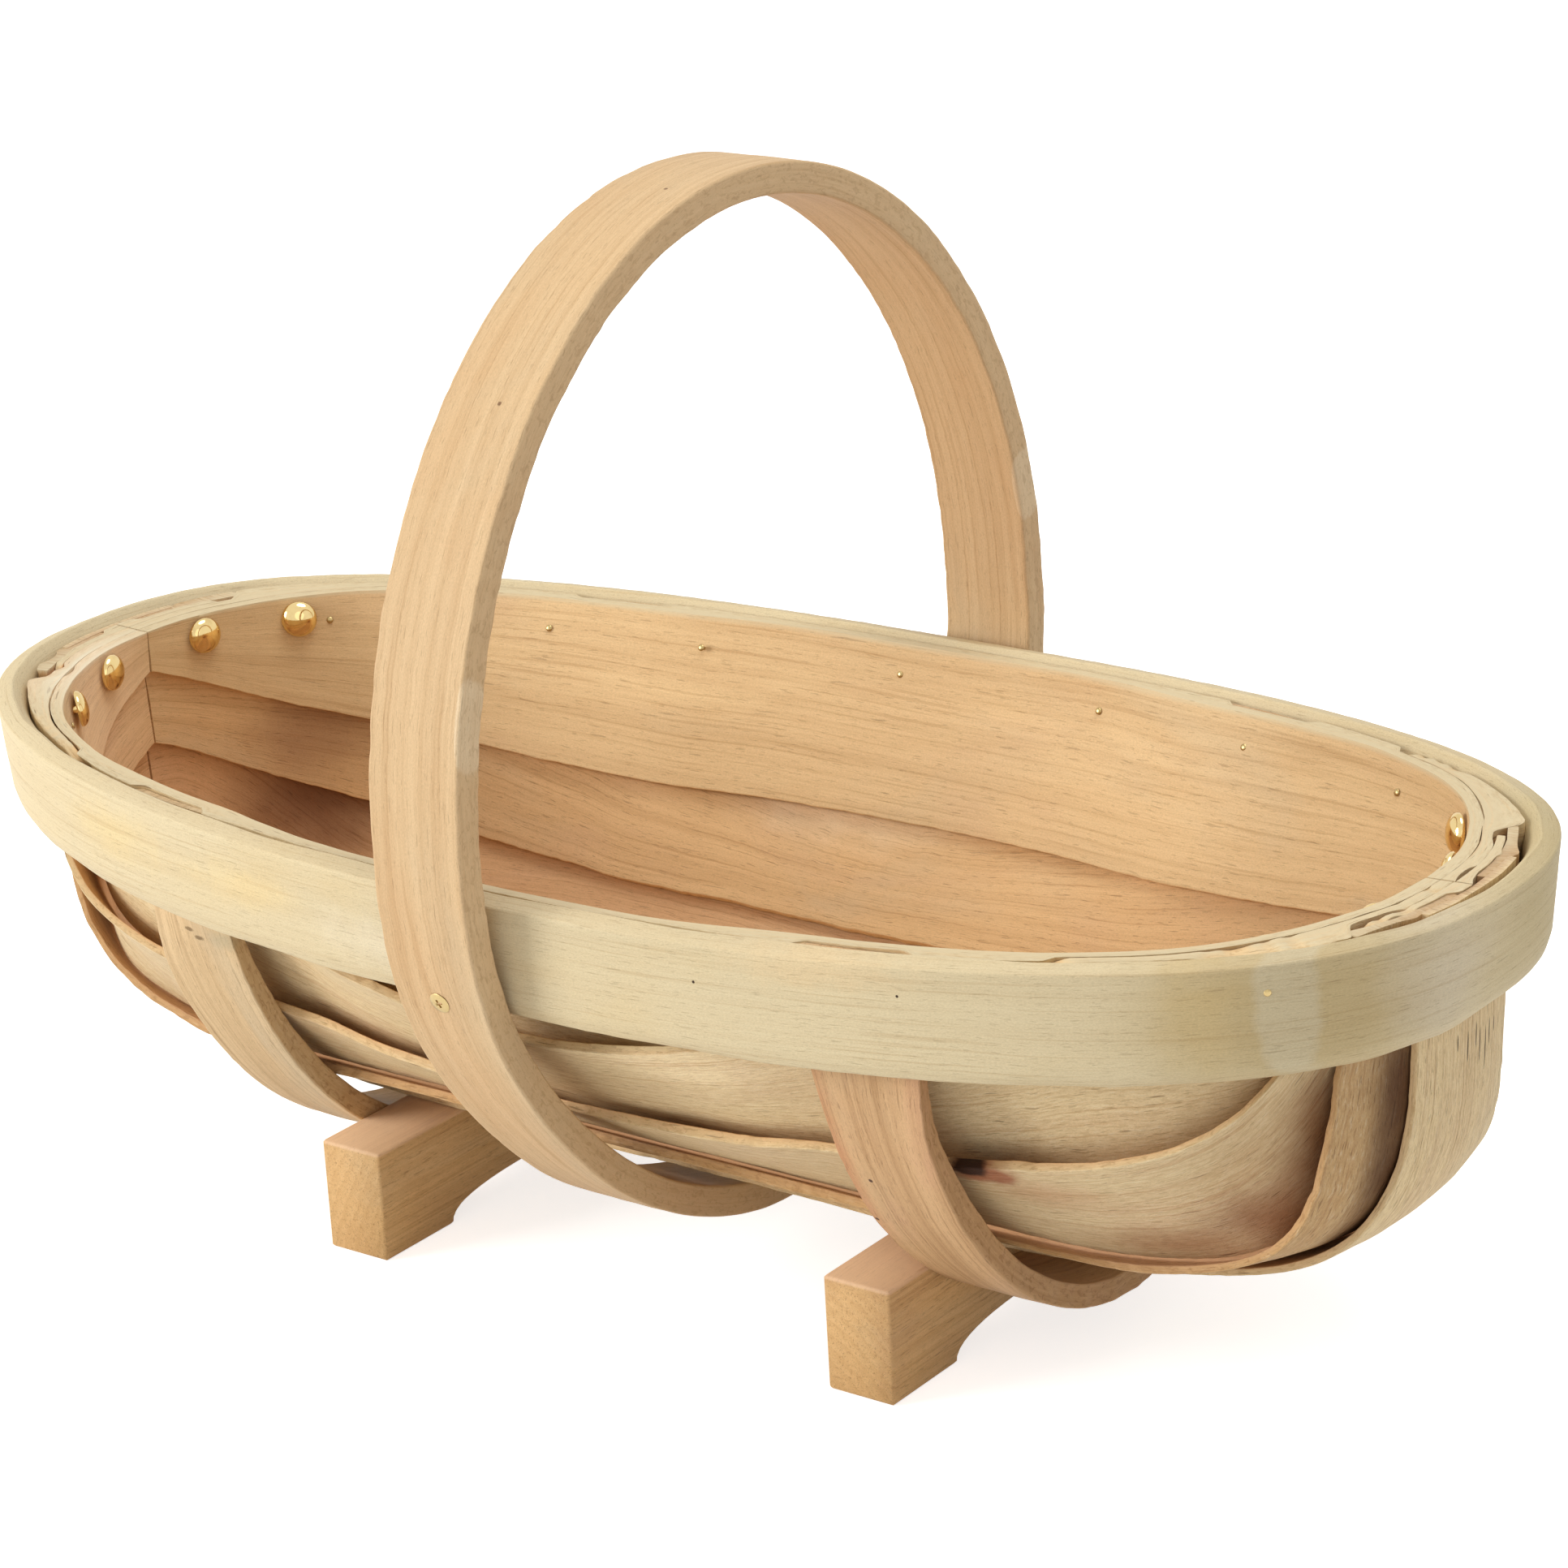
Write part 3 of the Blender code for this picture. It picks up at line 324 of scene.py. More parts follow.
CORNER_TURNS = np.array([0.0, 0.30, 0.62, 0.88, 1.0])     # shares of a quarter turn round an edge
MOST_ROUND = 0.45           # largest rounding as a share of the thickness
SUPPORT = 0.4 * MM          # width of the faces beside a rounded edge
TEAR_LENGTH = 0.045         # length of the longest bends of a torn edge
BITE_LENGTH = 0.035         # length of the places where splinters are lost
WAVES = ((1.0, 0.030, 0.012), (0.5, 0.011, 0.005))    # weight, length and width of a face's ripples
SEAM = 0.02                 # length at a closed band's seam over which tears and ripples fade
FLUSH_DEPTHS = (-0.9 * MM, -0.3 * MM)       # heights at the rim's top edge where flush sets in


def section_points(width, thick, rounding, columns):
    """Points round a section: their side, distance from it, share through and share of an edge."""
    fine = min(rounding, thick * MOST_ROUND)
    support = (fine + SUPPORT) / width
    share = np.linspace(support, 1 - support, columns)
    flat = np.zeros(columns)
    low, high = np.zeros(len(CORNER_TURNS)), np.ones(len(CORNER_TURNS))
    inset = fine * (1 - np.sin(CORNER_TURNS * pi / 2))
    through = fine / thick * (1 - np.cos(CORNER_TURNS * pi / 2))
    edge = np.linspace(0.3, 1, len(CORNER_TURNS))
    return (np.concatenate([low, share, high, high, share[::-1], low]),
            np.concatenate([inset[::-1], flat, -inset, -inset[::-1], flat, inset]),
            np.concatenate([through[::-1], flat, through, 1 - through[::-1], flat + 1, 1 - through]),
            np.concatenate([edge[::-1], flat, edge, edge[::-1], flat, edge]))


def band_mesh(timber, step, columns, rounding, seed, tear=(0.0, 0.0), swell=0.0, trim=None, bites=(0, 0)):
    """A bent piece as a fine mesh: rounded edges that wander, ripples on its faces, and a UV map.

    U runs along the grain and V round the section, both in metres. The point attribute edge is 1 on
    the narrow sides and 0 on the faces, inside is 1 on the inner face, and flush is 1 at the rim's top.
    """
    count = max(8, int(timber.length / step))
    along = np.linspace(0.0, timber.length, count + 1)
    if timber.closed:
        along = along[:-1]
    width, thick = timber.width(along), timber.thick
    side, inset, through, edge = section_points(width.mean(), thick, rounding, columns)
    rows, ring = len(along), len(side)

    bottom = wander(along, seed, TEAR_LENGTH) * tear[0] - bitten(along, seed + 70, BITE_LENGTH, bites[0])
    top = wander(along, seed + 50, TEAR_LENGTH) * tear[1] + bitten(along, seed + 80, BITE_LENGTH, bites[1])
    fade = np.ones(rows)
    if timber.closed:
        fade = smooth(0.0, SEAM, along) * smooth(0.0, SEAM, timber.length - along)
    across = mix((bottom * fade)[:, None], (width + top * fade)[:, None], side[None, :]) + inset[None, :]
    grid_along = np.repeat(along[:, None], ring, 1)
    wave = sum(weight * ripple(grid_along / long, across / wide, seed + 9 + number)
               for number, (weight, long, wide) in enumerate(WAVES)) * fade[:, None]
    facing = np.where(through < 0.5, -1.0, 1.0)[None, :]
    deep = np.clip(through[None, :] + facing * swell / thick * wave, -0.2, 1.2)
    points = timber.place(along, across / width[:, None], deep)
    if trim is not None:
        points = trim(points)

    spans = rows if timber.closed else rows - 1
    row, column = np.arange(spans)[:, None], np.arange(ring)[None, :]
    here, there, after = row * ring, (row + 1) % rows * ring, (column + 1) % ring
    faces = np.stack([here + column, here + after, there + after, there + column], -1).reshape(-1, 4)
    girth = np.cumsum(np.linalg.norm(np.diff(points, axis=1), axis=2).mean(0))
    girth = np.concatenate([[0.0], girth, [girth[-1] + thick]])
    reach = np.append(along, timber.length)
    u0, u1 = reach[:spans, None], reach[1:spans + 1, None]
    v0, v1 = girth[None, :-1], girth[None, 1:]
    uv = np.stack(np.broadcast_arrays(u0, v0, u0, v1, u1, v1, u1, v0), -1).reshape(-1, 2)
    if not timber.closed:
        caps, cap_uv = [], []
        for row, turn in ((0, 1), (rows - 1, -1)):
            for k in range(ring // 2 - 1):
                corners = [k, k + 1, ring - 2 - k, ring - 1 - k][::-turn]
                caps.append([row * ring + c for c in corners])
                cap_uv += [(reach[row] + through[c] * thick, across[row, c]) for c in corners]
        faces = np.concatenate([faces, np.array(caps)])
        uv = np.concatenate([uv, np.array(cap_uv)])
    mesh = bpy.data.meshes.new(timber.node)
    mesh.from_pydata(points.reshape(-1, 3).tolist(), [], faces.tolist())
    mesh.uv_layers.new(name="grain").data.foreach_set("uv", uv.ravel())
    height = points[..., 2] - rim_level(points[..., 0]) if trim else np.full(points.shape[:2], -1.0)
    for name, values in (("edge", np.repeat(edge[None, :], rows, 0)),
                         ("inside", np.repeat((through > 0.5)[None, :] * 1.0, rows, 0)),
                         ("flush", smooth(*FLUSH_DEPTHS, height))):
        attribute = mesh.attributes.new(name, "FLOAT", "POINT")
        attribute.data.foreach_set("value", values.ravel().astype(np.float32))
    return mesh


def as_mesh(name, shape):
    """The mesh of an edited shape, which is freed."""
    mesh = bpy.data.meshes.new(name)
    shape.to_mesh(mesh)
    shape.free()
    return mesh


def placed(name, data):
    """A new object of the scene."""
    item = bpy.data.objects.new(name, data)
    bpy.context.scene.collection.objects.link(item)
    return item


def evaluated(item):
    """The mesh of an object with its modifiers applied."""
    bpy.context.view_layer.update()
    return bpy.data.meshes.new_from_object(item.evaluated_get(bpy.context.evaluated_depsgraph_get()))


def finished(name, mesh, material, *replaced):
    """A finished object that stands for its solids and rides on the trug."""
    shape = bmesh.new()
    shape.from_mesh(mesh)
    # corners that the fill has pushed together become one
    bmesh.ops.remove_doubles(shape, verts=shape.verts, dist=SAME_PLACE)
    bmesh.ops.recalc_face_normals(shape, faces=shape.faces)
    if shape.calc_volume(signed=True) < 0:
        bmesh.ops.reverse_faces(shape, faces=shape.faces)
    shape.to_mesh(mesh)
    shape.free()
    mesh.shade_smooth()
    mesh.set_sharp_from_angle(angle=SHARP)
    mesh.materials.clear()
    mesh.materials.append(material)
    piece = placed(name, mesh)
    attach(piece, "root")
    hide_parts(*replaced)
    return piece


RIM_MIDDLE = max(point[2] for point in triangles("rim").reshape(-1, 3) if abs(point[0]) < 12.0 * MM)


def rim_level(x):
    """Height of the rim's top edge along the trug, from the rim's own solid."""
    return RIM_MIDDLE + (RIM_HIGH.z - RIM_MIDDLE) * (x / HALF_LENGTH) ** 2


def trimmed(points):
    """Points no higher than the rim's top edge, as everything there is trimmed flush."""
    points[..., 2] = np.minimum(points[..., 2], rim_level(points[..., 0]) - TRIM_DROP)
    return points


def walls_around(node):
    """The rim, the straps and the other boards as one tree for rays."""
    points, faces = [], []
    for name in NODES:
        if name != node and name.split("_")[0] in ("rim", "strap", "board"):
            corners = triangles(name)
            faces += [(k, k + 1, k + 2) for k in range(len(points), len(points) + len(corners) * 3, 3)]
            points += corners.reshape(-1, 3).tolist()
    return BVHTree.FromPolygons(points, faces)


# Cuts through the trug

HOOP_CUTS, STRAP_CUTS, FLANK_CUTS, KEEL_CUTS = 220, 150, 200, 180     # along one piece of each kind
STRAP_DROP, KEEL_DROP = 1.0 * MM, 0.8 * MM      # from a piece's top down to where its cuts meet
UPRIGHT_REACH = (-0.020, 0.135)     # from outside the rim to just short of the far flank


def power(value, exponent):
    """A power that keeps the value's sign."""
    return np.sign(value) * np.abs(value) ** exponent


def upright_cut(turn, side=1.0):
    """The upright half plane square to the rim's plan at one angle of its oval."""
    x = HALF_LENGTH * power(cos(turn), 2 / RIM_OVAL)
    y = HALF_WIDTH * power(sin(turn), 2 / RIM_OVAL)
    out = np.array([power(x / HALF_LENGTH, RIM_OVAL - 1) / HALF_LENGTH,
                    power(y / HALF_WIDTH, RIM_OVAL - 1) / HALF_WIDTH * side, 0.0])
    out /= np.linalg.norm(out)
    return Cut((x, y * side, RIM_LOW.z), -out, (0, 0, 1.0), out, UPRIGHT_REACH)


def hoop_cut(turn, height):
    """The half plane along the trug's length at one angle of the handle's or a strap's hoop."""
    out = (0.0, cos(turn), sin(turn))
    return Cut((0.0, 0.0, height), out, (1.0, 0, 0), out)


def keel_cut(turn, height, side=1.0):
    """The half plane across the trug at one angle of its lengthwise outline."""
    reach = np.array([HALF_LENGTH * cos(turn), 0.0, -(height - FOOT_HIGH.z) * sin(turn)])
    out = reach / np.linalg.norm(reach)
    return Cut((0.0, 0.0, height), out, (0, side, 0.0), out)


# Shader groups and materials

ORIGIN = (0.0, 0.0, 0.0)


def new_group(name, outputs, **inputs):
    """A shader group with named sockets, its wiring, and its inner ends. Defaults tell the kinds."""
    tree = bpy.data.node_groups.new(name, "ShaderNodeTree")
    for label, default in inputs.items():
        kind = "Float" if isinstance(default, float) else {3: "Vector", 4: "Color"}[len(default)]
        socket = tree.interface.new_socket(label.replace("_", " "), in_out="INPUT",
                                           socket_type="NodeSocket" + kind)
        socket.default_value = default
    for label in outputs:
        kind = "Color" if label == "Color" else "Float"
        tree.interface.new_socket(label, in_out="OUTPUT", socket_type="NodeSocket" + kind)
    w = Wiring(tree)
    return tree, w, w.add("NodeGroupInput").outputs, w.add("NodeGroupOutput").inputs


class Wiring:
    """Short ways to add nodes to a tree and link them."""

    def __init__(self, tree):
        self.tree = tree

    def add(self, kind, **settings):
        made = self.tree.nodes.new(kind)
        for name, value in settings.items():
            setattr(made, name, value)
        return made

    def link(self, source, target):
        self.tree.links.new(source, target)

    def feed(self, socket, value):
        """Link a socket to another one, or set its value."""
        if isinstance(value, bpy.types.NodeSocket):
            self.link(value, socket)
        elif socket.type == "RGBA":
            socket.default_value = (*value[:3], 1.0)
        else:
            socket.default_value = value

    def put(self, node, *values):
        """Set or link a node's first inputs."""
        for socket, value in zip(node.inputs, values):
            self.feed(socket, value)
        return node

    def shared(self, name, make, **values):
        """A shared group, made when it is first needed, with its inputs set or linked."""
        node = self.add("ShaderNodeGroup")
        node.node_tree = bpy.data.node_groups.get(name) or make(name)
        for label, value in values.items():
            self.feed(node.inputs[label.replace("_", " ")], value)
        return node

    def maths(self, operation, first, second=0.0, third=0.0, clamp=False):
        node = self.add("ShaderNodeMath", operation=operation, use_clamp=clamp)
        return self.put(node, first, second, third).outputs[0]

    def times(self, first, second):
        return self.maths("MULTIPLY", first, second)

    def times_plus(self, first, second, third):
        return self.maths("MULTIPLY_ADD", first, second, third)

    def minus(self, first, second):
        return self.maths("SUBTRACT", first, second)

    def plus(self, first, second, clamp=False):
        return self.maths("ADD", first, second, clamp=clamp)

    def vectors(self, operation, *values):
        node = self.put(self.add("ShaderNodeVectorMath", operation=operation), *values)
        return node.outputs["Value" if operation == "LENGTH" else "Vector"]

    def noise(self, vector, scale, detail=2.0, rough=0.5, warp=0.0):
        node = self.add("ShaderNodeTexNoise")
        self.link(vector, node.inputs["Vector"])
        for label, value in (("Scale", scale), ("Detail", detail), ("Roughness", rough),
                             ("Distortion", warp)):
            self.feed(node.inputs[label], value)
        return node.outputs["Fac"]

    def span(self, value, low, high, to_low=0.0, to_high=1.0):
        node = self.add("ShaderNodeMapRange", clamp=True, interpolation_type="SMOOTHSTEP")
        return self.put(node, value, low, high, to_low, to_high).outputs[0]

    def blend(self, share, first, second, how="MIX"):
        node = self.add("ShaderNodeMix", data_type="RGBA", blend_type=how, clamp_factor=True)
        for socket, value in ((node.inputs[0], share), (node.inputs[6], first), (node.inputs[7], second)):
            self.feed(socket, value)
        return node.outputs[2]

    def attribute(self, name):
        return self.add("ShaderNodeAttribute", attribute_name=name).outputs["Fac"]

    def dress(self, shader, colour, roughness, height, depth, strength=0.6):
        """Give a shader its colour, its roughness and bumps of a depth."""
        bump = self.add("ShaderNodeBump")
        for socket, value in ((bump.inputs["Strength"], strength), (bump.inputs["Distance"], depth),
                              (bump.inputs["Height"], height), (shader.inputs["Normal"], bump.outputs[0]),
                              (shader.inputs["Base Color"], colour), (shader.inputs["Roughness"], roughness)):
            self.feed(socket, value)

    def stretch(self, vector, scale, shift=ORIGIN):
        node = self.add("ShaderNodeMapping")
        self.link(vector, node.inputs["Vector"])
        node.inputs["Location"].default_value = shift
        node.inputs["Scale"].default_value = scale
        return node.outputs[0]

    def streaks(self, vector, along, across, detail=2.0, rough=0.5, warp=0.0, shift=(0.0, 0.0)):
        """Noise with its cells per metre along the grain, which runs along X, and across it."""
        return self.noise(self.stretch(vector, (along, across, across), (*shift, 0.0)), 1.0, detail, rough,
                          warp)


TAN, BROWN = (0.8, 0.65, 0.4, 1.0), (0.5, 0.3, 0.15, 1.0)
GRAIN_SWAY = 7.0 * MM       # how far the grain sways


def split_wood_grain(name):
    """Split-wood grain along X of its vector: bands, fibres, pores and soft stains."""
    tree, w, given, out = new_group(
        name, ("Color", "Height", "Roughness"), Vector=ORIGIN, Pale=TAN, Dark=BROWN, Stain=BROWN,
        Band_Depth=0.5, Fibre_Depth=0.4, Pore_Depth=0.5, Stain_Amount=0.3, Grey=(0.55, 0.50, 0.36, 1.0),
        Grey_Amount=0.2)
    vector = given["Vector"]
    sway = w.streaks(vector, 5.0, 9.0)
    swing = w.put(w.add("ShaderNodeCombineXYZ"), 0.0, w.times(w.minus(sway, 0.5), GRAIN_SWAY))
    bent = w.vectors("ADD", swing.outputs[0], vector)

    bands = w.streaks(bent, 3.0, 330.0, 3.0, 0.6)
    wide = w.streaks(bent, 2.2, 70.0)
    fibres = w.streaks(bent, 26.0, 1500.0, 3.0, 0.65)
    threads = w.streaks(bent, 60.0, 800.0, 2.0, 0.6)
    pores = w.streaks(bent, 130.0, 1700.0, 1.0)
    lines = w.streaks(bent, 13.0, 950.0, 1.0, 0.4, shift=(6.0, 1.0))
    flecks = w.streaks(bent, 260.0, 2600.0, 1.0, shift=(2.0, 7.0))
    stains = w.streaks(vector, 9.0, 22.0, 4.0, 0.6, 0.6)
    greys = w.streaks(vector, 8.0, 20.0, 4.0, 0.6, 0.6, (3.0, 5.0))
    speckle = w.streaks(vector, 1300.0, 2600.0, 2.0, 0.7)

    dark = w.times(w.times(w.span(bands, 0.36, 0.70), given["Band Depth"]), 0.55)
    dark = w.times_plus(w.times(w.span(wide, 0.42, 0.68), given["Band Depth"]), 0.30, dark)
    for fine, low, high, amount in ((fibres, 0.40, 0.78, 0.45), (lines, 0.58, 0.68, 0.75),
                                    (threads, 0.52, 0.80, 0.35)):
        dark = w.times_plus(w.times(w.span(fine, low, high), given["Fibre Depth"]), amount, dark)
    pores_on = w.plus(w.span(pores, 0.655, 0.72), w.span(flecks, 0.64, 0.70, 0.0, 0.8), clamp=True)
    pores_on = w.times(pores_on, given["Pore Depth"])
    colour = w.blend(dark, given["Pale"], given["Dark"])
    colour = w.blend(w.times(w.span(stains, 0.48, 0.72), given["Stain Amount"]), colour, given["Stain"])
    colour = w.blend(w.times(w.span(greys, 0.50, 0.75), given["Grey Amount"]), colour, given["Grey"])
    pore_tone = w.blend(0.65, given["Dark"], (0.12, 0.06, 0.02))
    colour = w.blend(w.times(pores_on, 0.75), colour, pore_tone)
    w.link(w.blend(1.0, colour, w.span(speckle, 0.25, 0.75, 0.90, 1.06), "MULTIPLY"), out["Color"])
    height = w.minus(w.times(fibres, 0.5), w.times(pores_on, 0.8))
    height = w.times_plus(threads, 0.6, w.times_plus(speckle, 0.5, height))
    w.link(height, out["Height"])
    w.link(w.times_plus(fibres, 0.14, 0.52), out["Roughness"])
    return tree


def worn_edges(name):
    """A fibrous tint on the narrow sides, and the rim's tone where the board tops are trimmed flush."""
    tree, w, given, out = new_group(
        name, ("Color",), Vector=ORIGIN, Color=TAN, Edge=0.0, Edge_Color=TAN, Edge_Amount=0.5, Flush=0.0,
        Flush_Color=TAN)
    vector = given["Vector"]
    fuzz = w.streaks(vector, 90.0, 900.0, 3.0, 0.6)
    worn = w.times(w.span(given["Edge"], 0.45, 0.95), w.span(fuzz, 0.25, 0.75, 0.4, 1.0))
    worn = w.times(worn, given["Edge Amount"])
    colour = w.blend(worn, given["Color"], given["Edge Color"])
    crumbs = w.streaks(vector, 330.0, 650.0, 3.0, 0.6, 0.8)
    crumbs = w.times(w.span(crumbs, 0.53, 0.62, 0.0, 0.6), worn)
    colour = w.blend(crumbs, colour, w.blend(1.0, given["Edge Color"], (0.52, 0.40, 0.30), "MULTIPLY"))
    lines = w.streaks(vector, 30.0, 1200.0)
    flush = w.times(given["Flush"], w.span(lines, 0.30, 0.55, 0.55, 0.9))
    w.link(w.blend(flush, colour, given["Flush Color"]), out["Color"])
    return tree


def torn_face(name):
    """The fuzzy outer face of a split board: dark hollows, and slits on both faces."""
    tree, w, given, out = new_group(
        name, ("Color", "Height"), Vector=ORIGIN, Color=TAN, Height=0.0, Inside=0.0, Hollow_Color=BROWN)
    outer = w.minus(1.0, given["Inside"])
    torn = w.streaks(given["Vector"], 190.0, 1100.0, 4.0, 0.75, 0.3)
    hollow = w.times(w.span(torn, 0.36, 0.54, 0.42, 0.0), outer)
    colour = w.blend(hollow, given["Color"], given["Hollow Color"])
    fuzz = w.times(w.span(torn, 0.54, 0.68, 0.0, 0.30), outer)
    colour = w.blend(fuzz, colour, (0.84, 0.74, 0.54))
    slits = w.streaks(given["Vector"], 75.0, 950.0, 1.5, shift=(1.0, 4.0))
    slits = w.times(w.span(slits, 0.68, 0.73), w.times_plus(outer, 0.30, 0.30))
    w.link(w.blend(slits, colour, (0.20, 0.11, 0.05)), out["Color"])
    height = w.times_plus(w.times(torn, outer), 3.4, given["Height"])
    w.link(w.minus(height, slits), out["Height"])
    return tree


def patch_mask(name):
    """1 inside an ellipsoid round a place of the trug, with a ragged soft edge."""
    tree, w, given, out = new_group(
        name, ("Mask",), Vector=ORIGIN, Place=ORIGIN, Radii=(0.01, 0.01, 0.01), Raggedness_Scale=100.0,
        Softness=0.5, Wobble=0.35, Amount=1.0)
    away = w.vectors("SUBTRACT", given["Vector"], given["Place"])
    distance = w.vectors("LENGTH", w.vectors("DIVIDE", away, given["Radii"]))
    ragged = w.noise(given["Vector"], given["Raggedness Scale"], 3.0)
    distance = w.plus(distance, w.times(w.minus(ragged, 0.5), given["Wobble"]))
    mask = w.span(distance, w.minus(1.0, given["Softness"]), 1.0, 1.0, 0.0)
    w.link(w.times(mask, given["Amount"]), out["Mask"])
    return tree


def tarnished_metal(name):
    """Metal with a little tarnish and fine handling marks."""
    tree, w, given, out = new_group(
        name, ("Color", "Roughness", "Height"), Vector=ORIGIN, Bright=TAN, Dull=BROWN, Least_Roughness=0.1)
    tarnish = w.noise(given["Vector"], 260.0, 3.0)
    marks = w.noise(given["Vector"], 1300.0)
    w.link(w.blend(w.span(tarnish, 0.45, 0.75, 0.0, 0.35), given["Bright"], given["Dull"]), out["Color"])
    w.link(w.times_plus(marks, 0.08, given["Least Roughness"]), out["Roughness"])
    w.link(marks, out["Height"])
    return tree


def new_material(name):
    """A material with nodes, its wiring and its shader."""
    material = bpy.data.materials.new(name)
    material.use_nodes = True
    return material, Wiring(material.node_tree), material.node_tree.nodes["Principled BSDF"]


WOOD_GLOSS = 0.14           # specular level of the bare woods
GRAIN_MEAN = 0.90           # brightness of the grain as a share of its base colour
RIM_SHADE = 0.97            # the trimmed board tops beside the rim's own wood
OUTER_BANDS = 0.55          # bands of a split outer face as a share of those inside
RAGGEDNESS = 1.3            # bumps of a mark's edge along its smallest radius
DARK_SHIFT = np.array([1.0, 0.86, 0.72])    # darker wood is also redder
DARKER = np.array([0.62, 0.52, 0.42])       # hollows beside the wood's own colour


def wood(name, pale, seed, dark, stain, bands, fibres, pores, stains, edge, greys=0.2,
         edge_tint=(0.95, 0.86, 0.76), back=None, bump=0.10, hue=(1.0, 1.0, 1.0), marks=()):
    """A wood from the shared grain, read along the piece's own UV map."""
    material, w, shader = new_material(name)
    rng = np.random.default_rng(seed)
    shift = (float(rng.uniform(0, 9)), float(rng.uniform(0, 9)), 0.0)
    vector = w.stretch(w.add("ShaderNodeUVMap", uv_map="grain").outputs[0], (1.0, 1.0, 1.0), shift)
    tint = np.array(pale) * np.array(hue)
    face, edge_colour = tint, tint * np.array(edge_tint)
    if back is not None:
        inside = w.attribute("inside")
        face, edge_colour = w.blend(inside, back, tint), back * np.array(edge_tint)
        bands = w.span(inside, 0.0, 1.0, bands * OUTER_BANDS, bands)
    grain = w.shared("split_wood_grain", split_wood_grain, Vector=vector, Pale=face,
                     Dark=tint * (dark * DARK_SHIFT), Stain=stain,
                     Band_Depth=bands, Fibre_Depth=fibres, Pore_Depth=pores, Stain_Amount=stains,
                     Grey_Amount=greys)
    rim_tone = np.array(bpy.context.scene.trug_colours.rim) * RIM_SHADE
    worn = w.shared("worn_edges", worn_edges, Vector=vector, Color=grain.outputs["Color"],
                    Edge=w.attribute("edge"), Edge_Color=edge_colour, Edge_Amount=edge,
                    Flush=w.attribute("flush"), Flush_Color=rim_tone)
    colour, height = worn.outputs["Color"], grain.outputs["Height"]
    if back is not None:
        torn = w.shared("torn_face", torn_face, Vector=vector, Color=colour, Height=height,
                        Inside=inside, Hollow_Color=back * DARKER)
        colour, height = torn.outputs["Color"], torn.outputs["Height"]
    w.dress(shader, marked(w, colour, face, marks), grain.outputs["Roughness"], height, bump * MM)
    shader.inputs["Specular IOR Level"].default_value = WOOD_GLOSS
    return material


def marked(w, colour, base, marks):
    """A grained colour with marks, real ones and painted light and shade, that tone its base and leave the
    grain in them.
    """
    here = w.add("ShaderNodeTexCoord").outputs["Object"]
    grain = w.blend(1.0, colour, base, "DIVIDE")
    for place, radii, soft, wobble, amount, tone in marks:
        radii = [radius * MM for radius in radii]
        mask = w.shared("patch_mask", patch_mask, Vector=here, Place=[value * MM for value in place],
                        Radii=radii, Raggedness_Scale=RAGGEDNESS / min(radii), Softness=soft, Wobble=wobble,
                        Amount=amount)
        toned = w.blend(1.0, grain, np.array(tone) / GRAIN_MEAN, "MULTIPLY")
        colour = w.blend(mask.outputs["Mask"], colour, toned)
    return colour


# dark dots on the handle's outer face
HANDLE_DOTS = tuple((place, (0.9, 0.9, 0.9), 0.5, 0.5, 0.8, (0.16, 0.08, 0.04))
                    for place in ((8.6, -23.2, 347.5), (7.9, -104.4, 302.1)))
